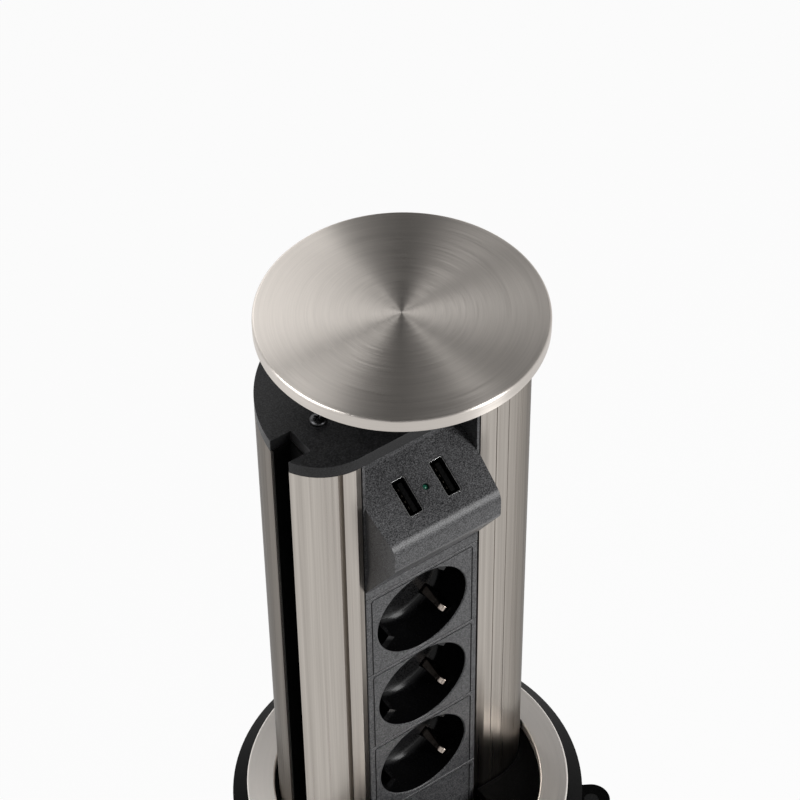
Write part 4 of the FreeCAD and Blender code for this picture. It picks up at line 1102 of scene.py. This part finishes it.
    def painted(self, face: Shape, middle: float) -> Shape:
        """Give a socket its grained face, and paint shade into its well: a near-black wall and a near-black
        floor.

        Args:
            face: the socket.
            middle: the well's height.

        Returns:
            The same socket.
        """
        floor_from = self.floor - 0.6

        def reach(spot: Vector) -> float:
            """The distance from the well's axis."""
            return math.hypot(spot.x - self.strip_x, spot.z - middle)

        def on_wall(spot: Vector) -> bool:
            """Tell whether a face belongs to the well's wall."""
            return self.front + 0.55 < spot.y < floor_from and reach(spot) < self.well + 0.1

        def on_floor(spot: Vector) -> bool:
            """Tell whether a face belongs to the well's floor."""
            return floor_from <= spot.y <= self.floor + 0.05 and reach(spot) < self.well

        # Painted shade: faces on the well's wall and floor get near-black finishes for the shade inside the
        # well
        face.paint(self.finishes.anthracite).paint(self.finishes.well, on_wall)
        face.paint(self.finishes.floor, on_floor)
        return face


@dataclass
class EarthClips:
    """The pairs of sprung earth contacts at the wells' walls."""

    finishes: Finishes
    strip_x: float = -4.5
    first_middle: float = 131.6
    pitch: float = 43.5
    thickness: float = 0.9

    def edges(self, path: Sequence[Corner]) -> list[Spot]:
        """Outline a strip of even thickness along a bent path."""
        rows: tuple[list[Spot], list[Spot]] = ([], [])
        for index, spot in enumerate(path):
            following, before = path[min(index + 1, len(path) - 1)], path[max(index - 1, 0)]
            ahead = Vector(following[:2]) - Vector(before[:2])
            off = Vector((-ahead.y, ahead.x)).normalized() * (self.thickness / 2.0)
            rows[0].append((spot[0] + off.x, spot[1] + off.y))
            rows[1].append((spot[0] - off.x, spot[1] - off.y))
        return rows[0] + rows[1][::-1]

    def build(self) -> None:
        """Bend one strip, narrow it to its nose, then copy it to every place.

        Each point of the path is the distance from the well's axis, the depth, and half the strip's width.
        """
        path = [(17.7, 1.8, 1.7), (17.6, -2.0, 1.7), (17.3, -5.5, 1.5), (17.0, -8.2, 1.3), (16.9, -10.0, 1.2),
                (17.2, -11.3, 1.25), (17.9, -12.3, 1.3), (18.8, -12.9, 1.2)]
        strip = Shape.prism("earth_strip", self.edges(path), (-1.0, 1.0), Plane.FLOOR)
        for vertex in strip.object.data.vertices:
            across, deep = vertex.co.x / MM, vertex.co.y / MM
            nearest = min(path, key=lambda spot: math.hypot(across - spot[0], deep - spot[1]))
            vertex.co.z *= nearest[2]
        strip.soften(0.42, 4, 50.0)
        for index in range(3):
            place = shift(self.strip_x, 0.0, self.first_middle - index * self.pitch)
            name = f"earth_contacts_{index + 1}"
            near, far = (strip.copied(name, place @ spin(-angle, "Y")) for angle in (-45.0, 135.0))
            near.joined([far]).paint(self.finishes.clip)
            near.seat("tower", "clip_metal", f"earth_clips_{index + 1}")
        bpy.data.objects.remove(strip.object)


@dataclass
class Charger:
    """The charger's wedge with its two ports and its lamp."""

    finishes: Finishes
    strip_x: float = -4.5
    half: float = 24.75
    front: float = -17.3
    back: float = -6.9
    inner: float = -4.9
    lip: float = -33.0
    roof: float = 225.25
    base: float = 158.3
    top: float = 208.2
    slope: float = 29.9
    lip_height: float = 10.5
    taper: float = 2.0
    cheek: float = 1.0
    shoulder: Spot = (-15.7, -13.5)
    shoulder_over: float = 2.75
    upper_round: float = 3.0
    lower_round: float = 1.2
    edge: float = 0.35
    port: Spot = (6.2, 14.4)
    port_round: float = 0.9
    spacing: float = 16.2
    drop: float = 14.8
    port_depth: float = 13.0
    shell_gap: float = 0.1
    shell_wall: float = 0.35
    shell_front: float = -0.3
    back_wall: float = 0.6
    spring_along: float = 3.2
    spring_rise: float = 0.5
    spring_span: Spot = (-4.2, -1.6)
    tongue_across: Spot = (-0.2, 1.7)
    tongue_short: float = 1.6
    tongue_front: float = -2.0
    root_depth: float = 3.0
    contact_low: float = -0.55
    contact_front: float = -2.8
    contact_pitch: float = 2.4
    contact_half: float = 0.45
    lamp: float = 1.2
    lamp_depth: float = 2.9

    def on_slope(self, x: float = 0.0) -> Matrix:
        """The place of a thing on the sloped face, with its own Z square to the face."""
        tilt = math.radians(self.slope)
        y = self.back - self.drop * math.cos(tilt)
        z = self.top - self.drop * math.sin(tilt)
        return shift(self.strip_x + x, y, z) @ spin(self.slope, "X")

    def port_outline(self, inset: float, rounding: float) -> list[Spot]:
        """A port's rounded outline, smaller all round by an inset."""
        wide, long = self.port[0] / 2.0 - inset, self.port[1] / 2.0 - inset
        return panel((-wide, wide), (-long, long), rounding, 4)

    def build(self) -> None:
        """Make the housing, the ports and the lamp."""
        self.housing()
        for sign, word in ((-1.0, "left"), (1.0, "right")):
            self.port_shell(sign, word)
            self.tongue(sign, word)
        radius = self.lamp - 0.05
        dome = [(0.0, -self.lamp_depth), (radius, -self.lamp_depth)]
        dome += arc((0.0, 0.8 - self.lamp_depth), radius, 0.0, 90.0, 6)
        lens = Shape.turned("lamp_lens", dome, Axis.UPRIGHT, 32).move(self.on_slope())
        lens.paint(self.finishes.lens).seat("tower", "lens_green", "usb_led_lens")

    def housing(self) -> None:
        """Raise the wedge's side view, taper it, round its lip and cut the holes."""
        lip_top = self.top + (self.lip - self.back) * math.tan(math.radians(self.slope))
        side = [(self.inner, self.base), (self.inner, self.roof), (self.back, self.roof),
                (self.back, self.top), (self.lip, lip_top), (self.lip, lip_top - self.lip_height),
                (self.front, self.base)]
        wedge = Shape.prism("charger_housing", side, (-self.half, self.half), Plane.SIDE)
        for vertex in wedge.object.data.vertices:
            out = max(0.0, (self.front - vertex.co.y / MM) / (self.front - self.lip))
            vertex.co.x *= 1.0 - out * self.taper / self.half
        wedge.move(shift(self.strip_x))
        lip_bottom, at_lip = lip_top - self.lip_height, self.lip + 0.01
        wedge.round_edges(lambda spot: spot.y < at_lip and spot.z > lip_top - 0.1, self.upper_round, 6)
        wedge.round_edges(lambda spot: spot.y < at_lip and spot.z < lip_bottom + 0.1, self.lower_round, 4)
        wedge.add(self.cheeks())
        wedge.cut(Shape.block("cheek_room", self.across(-self.cheek), (self.back - 1.0, self.back),
                              (self.top + 0.6, self.roof + 1.0))).soften(self.edge, 3)
        for sign in (-1.0, 1.0):
            outline, deep = self.port_outline(0.0, self.port_round), (-self.port_depth - 0.3, 2.0)
            hole = Shape.prism("port_hole", outline, deep, Plane.FLOOR)
            wedge.cut(hole.move(self.on_slope(sign * self.spacing / 2.0)))
        pit = [(0.0, -3.0), (self.lamp, -3.0), (self.lamp, -0.2), (self.lamp + 1.2, 1.0), (0.0, 1.0)]
        wedge.cut(Shape.turned("lamp_pit", pit, Axis.UPRIGHT, 48).move(self.on_slope()))
        wedge.paint(self.finishes.anthracite).seat("tower", "anthracite_plastic", "usb_housing")

    def across(self, over: float) -> Spot:
        """The housing's left and right ends, moved out by a distance."""
        return self.strip_x - self.half - over, self.strip_x + self.half + over

    def cheeks(self) -> Shape:
        """The housing's side walls with the shoulders that lie behind the profile's edges."""
        upright = (self.base, self.roof)
        cheeks = Shape.block("cheek_block", self.across(0.0), (self.front, self.inner), upright)
        cheeks.add(Shape.block("shoulder_flank", self.across(self.shoulder_over), self.shoulder, upright))
        return cheeks.cut(Shape.block("cheek_hollow", self.across(-self.cheek), (self.front - 9.0, self.back),
                                      (self.base - 1.0, self.roof + 1.0)))

    def port_shell(self, sign: float, word: str) -> None:
        """A port's steel shell with two inward springs on one side."""
        depth, inset = self.port_depth, self.shell_gap + self.shell_wall
        outer, room = self.port_outline(self.shell_gap, 0.8), self.port_outline(inset, 0.6)
        shell = Shape.prism(f"port_shell_{word}", outer, (-depth, self.shell_front), Plane.FLOOR)
        shell.cut(Shape.prism("shell_room", room, (-depth + self.back_wall, 1.0), Plane.FLOOR))
        wall = -self.port[0] / 2.0 + inset
        crest = wall + self.spring_rise
        for along in (-self.spring_along, self.spring_along):
            bump = rounded([(wall, along - 1.1, 0.0), (crest, along - 0.5, 0.2), (crest, along + 0.5, 0.2),
                            (wall, along + 1.1, 0.0)], 3)
            shell.joined([Shape.prism("shell_spring", bump, self.spring_span, Plane.FLOOR)])
        shell.soften(0.08, 2).move(self.on_slope(sign * self.spacing / 2.0))
        shell.paint(self.finishes.port).seat("tower", "port_steel", f"usb_shell_{word}")

    def tongue(self, sign: float, word: str) -> None:
        """A port's plastic tongue with four contacts along it."""
        long, back = self.port[1] / 2.0 - self.tongue_short, -self.port_depth + self.back_wall
        outline = panel(self.tongue_across, (-long, long), 0.2, 3)
        blade = Shape.prism(f"port_tongue_{word}", outline, (back, self.tongue_front), Plane.FLOOR)
        root_end = -self.port_depth + self.root_depth
        blade.joined([Shape.prism("tongue_root", self.port_outline(0.5, 0.4), (back, root_end), Plane.FLOOR)])
        blade.soften(0.15, 2)
        low, high = self.contact_low, self.tongue_across[0]
        contacts = []
        for number in range(4):
            first = (number - 1.5) * self.contact_pitch - self.contact_half
            last = first + 2.0 * self.contact_half
            pad = rounded([(low, first, 0.1), (high, first, 0.0), (high, last, 0.0), (low, last, 0.1)], 3)
            contact = Shape.prism("tongue_contact", pad, (root_end, self.contact_front), Plane.FLOOR)
            contacts.append(contact.paint(self.finishes.contact))
        blade.paint(self.finishes.black).joined(contacts).move(self.on_slope(sign * self.spacing / 2.0))
        blade.seat("tower", "black_plastic", f"usb_tongue_{word}")


@dataclass
class CrossScrews:
    """Groups of cross-recess screws."""

    finishes: Finishes
    head: float = 3.0
    head_height: float = 1.8
    shank: float = 1.6
    length: float = 12.0

    def blank(self, name: str) -> Shape:
        """Turn one screw that points down from the origin and cut its recess."""
        crown, rim = self.head_height, 0.45
        profile = [(0.0, -self.length), (self.shank * 0.4, -self.length), (self.shank, -self.length + 1.2),
                   (self.shank, 0.0), (self.head, 0.0), (self.head, crown * rim)]
        profile += [(self.head * math.cos(angle), crown * (rim + (1.0 - rim) * math.sin(angle)))
                    for angle in (0.35, 0.7, 1.05, 1.35)]
        screw = Shape.turned(name, profile + [(0.0, crown)], Axis.UPRIGHT, 40)
        wide, reach, tip = self.head * 0.13, self.head * 0.62, self.head * 0.217
        arm = [(-reach, crown + 0.1), (reach, crown + 0.1), (tip, crown - 1.2), (-tip, crown - 1.2)]
        for turn in (20.0, 110.0):
            screw.cut(Shape.prism("recess_arm", arm, (-wide, wide), Plane.FRONT).move(spin(turn)))
        return screw

    def group(self, name: str, places: Sequence[Matrix], body: str, slot: str, node: str) -> None:
        """Copy one screw to several places as one piece."""
        blank = self.blank(name + "_blank")
        copies = [blank.copied(name, place) for place in places]
        copies[0].joined(copies[1:]).paint(self.finishes.screw).seat(body, slot, node)
        bpy.data.objects.remove(blank.object)


@dataclass
class TowerScrews:
    """The screws of both end caps, the column's feet and the guide plates."""

    finishes: Finishes
    front_spot: Spot = (32.5, 4.0)
    back_spot: Spot = (29.6, 35.2)
    top_face: float = 230.65
    bottom_face: float = -71.1
    guide_spot: Spot = (20.0, -45.4)
    guide_faces: Spot = (2.0, -53.0)
    foot_ring: float = 14.8
    foot_faces: Spot = (233.65, 258.3)

    def build(self) -> None:
        """Copy the screws to their places, those of the lower faces upside down."""
        over = spin(180.0, "X")
        corners = [(sign * x, y) for x, y in (self.front_spot, self.back_spot) for sign in (-1.0, 1.0)]
        screws = CrossScrews(self.finishes)
        screws.group("top_screws", [shift(x, y, self.top_face) for x, y in corners], "tower", "screw_steel",
                     "top_cap_screws")
        screws.group("bottom_screws", [shift(x, y, self.bottom_face) @ over for x, y in corners], "tower",
                     "screw_steel", "bottom_cap_screws")
        aside, y = self.guide_spot
        upper, lower = self.guide_faces
        guides = [shift(x, y, upper) for x in (-aside, aside)]
        guides += [shift(x, y, lower) @ over for x in (-aside, aside)]
        screws.group("plate_screws", guides, "flange", "screw_steel", "guide_screws")
        feet = [on_circle(self.foot_ring, angle) for angle in (0.0, 120.0, 240.0)]
        lower, upper = self.foot_faces
        places = [shift(x, y, lower) for x, y in feet] + [shift(x, y, upper) @ over for x, y in feet]
        small = CrossScrews(self.finishes, head=2.4, shank=1.2, length=5.5)
        small.group("foot_screws", places, "tower", "screw_steel", "column_screws")


@dataclass
class ClampScrew:
    """One thumb screw of the clamp ring, with a ribbed knob."""

    finishes: Finishes
    number: int
    reach: float = 75.0
    first_angle: float = -31.0
    shank: float = 3.0
    knob: float = 7.0
    knob_top: float = -36.5
    knob_height: float = 9.0
    tip: float = -18.7
    ribs: int = 12
    rib_height: float = 0.55
    thread_pitch: float = 1.5
    thread_depth: float = 0.45

    def build(self) -> None:
        """Make the ribbed knob and the threaded shank, and put them in the ring's lobe."""
        base, waist = self.knob_top - self.knob_height, self.knob - 0.6
        knob = Shape.turned(f"thumb_screw_{self.number}", rounded([
            (0.0, base, 0.0),
            (waist, base, 0.9),
            (waist, self.knob_top, 0.9),
            (0.0, self.knob_top, 0.0),
        ]), Axis.UPRIGHT, self.ribs * 4)
        knob.inset(ribbed(self.ribs), 0.05, self.rib_height, False).soften(0.15, 2, 25.0)
        thread = [(0.0, self.knob_top - 1.0), (self.shank, self.knob_top - 1.0)]
        root = self.shank - self.thread_depth
        for index in range(int((self.tip - self.knob_top) / self.thread_pitch)):
            level = self.knob_top + 0.4 + index * self.thread_pitch
            thread += [(self.shank, level), (root, level + 0.55), (self.shank, level + 1.1)]
        thread += [(self.shank, self.tip - 0.5), (self.shank - 0.5, self.tip), (0.0, self.tip)]
        knob.joined([Shape.turned("thumb_thread", thread, Axis.UPRIGHT, 48)])
        knob.move(shift(*on_circle(self.reach, self.first_angle + 120.0 * (self.number - 1))))
        name = f"clamp_screw_{self.number}"
        knob.paint(self.finishes.black).seat(name, "black_plastic", name)


@dataclass
class CableGland:
    """The gland's ribbed cap and six-sided nut."""

    finishes: Finishes
    y: float = 22.0
    radius: float = 10.0
    bore: float = 4.6
    cap_span: Spot = (-88.1, -76.1)
    cap_over: float = 0.5
    cap_wall: float = 1.9
    cap_ribs: int = 16
    nut_span: Spot = (-66.0, -61.0)
    nut_rim: float = 3.0

    def build(self) -> None:
        """Make the cap and the nut round the CAD's gland body."""
        self.cap()
        self.nut()

    def cap(self) -> None:
        """The cap, with a domed lower end and ribs round its rim."""
        low, high = self.cap_span
        outer = self.radius + self.cap_over
        inner = outer - self.cap_wall
        cap = Shape.turned("gland_ribbed_cap", rounded([
            (self.bore, low, 0.4),
            (self.radius - 2.6, low, 2.2),
            (outer, low + 5.0, 0.6),
            (outer, high, 0.5),
            (inner, high, 0.0),
            (inner, high - 6.0, 0.0),
            (self.bore, high - 6.0, 0.0),
        ], 4), Axis.UPRIGHT, self.cap_ribs * 4)
        cap.inset(ribbed(self.cap_ribs, outer - 0.2), 0.05, 0.45, False).soften(0.12, 2, 30.0)
        cap.move(shift(y=self.y)).paint(self.finishes.black).seat("tower", "black_plastic", "gland_cap")

    def nut(self) -> None:
        """The six-sided nut inside the bottom cap."""
        low, high = self.nut_span
        corners = [on_circle(self.radius + self.nut_rim, 60.0 * number) for number in range(6)]
        nut = Shape.prism("gland_six_sided_nut", corners, self.nut_span, Plane.FLOOR)
        bore = Shape.rod("nut_bore", self.radius + 0.05, (low - 1.0, high + 1.0), Axis.UPRIGHT, 64)
        nut.cut(bore).soften(0.4, 2)
        nut.move(shift(y=self.y)).paint(self.finishes.black).seat("tower", "black_plastic", "gland_locknut")


def dress(material: bpy.types.Material, *nodes: str) -> None:
    """Give CAD nodes a material.

    Args:
        material: the finish.
        nodes: the nodes' names.
    """
    for name in nodes:
        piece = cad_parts[name]
        piece.data.materials.clear()
        piece.data.materials.append(material)


def dress_cad(finishes: Finishes) -> None:
    """Give every CAD node that stays its finish."""
    dress(finishes.profile, "tower_profile")
    dress(finishes.black, "flange_body", "upper_guide_plate", "lower_guide_plate", "clamp_ring",
          "channel_liner_left", "channel_liner_right", "lid_backing", "lid_column", "stop_collar",
          "cable_gland")
    dress(finishes.cap, "bottom_end_cap")
    for number in (1, 2, 3):
        dress(finishes.black, f"shutter_{number}")
        dress(finishes.rubber, f"clamp_pad_{number}")
        dress(finishes.grey, f"socket_back_{number}")
    dress(finishes.rubber, "worktop_seal")
    dress(finishes.felt, "brake_pad_left", "brake_pad_right")
    dress(finishes.screw, "module_screws", "terminal_screws")
    dress(finishes.brass, "live_busbar", "neutral_busbar")
    dress(finishes.grey, "terminal_block")
    dress(finishes.laminate, "usb_port_board", "charger_board")
    dress(finishes.tape, "charger_transformer")
    dress(finishes.can, "charger_capacitor")


def top_cap(finishes: Finishes) -> None:
    """The top end cap, which only needs its edges rounded."""
    cap = Shape.softened("top_cap_plate", "top_end_cap", 0.5)
    cap.paint(finishes.cap).seat("tower", "cap_plastic", "top_end_cap")


def main() -> None:
    """Build the scene: the studio, the finishes, then each sub-assembly."""
    Studio().build()
    finishes = Finishes()
    dress_cad(finishes)
    Lid(finishes).build()
    TrimRing(finishes).build()
    SocketStrip(finishes).build()
    EarthClips(finishes).build()
    Charger(finishes).build()
    TowerScrews(finishes).build()
    for number in (1, 2, 3):
        ClampScrew(finishes, number).build()
    CableGland(finishes).build()
    top_cap(finishes)
    bpy.context.scene.view_settings.view_transform = "Standard"


if __name__ == "__main__":
    main()
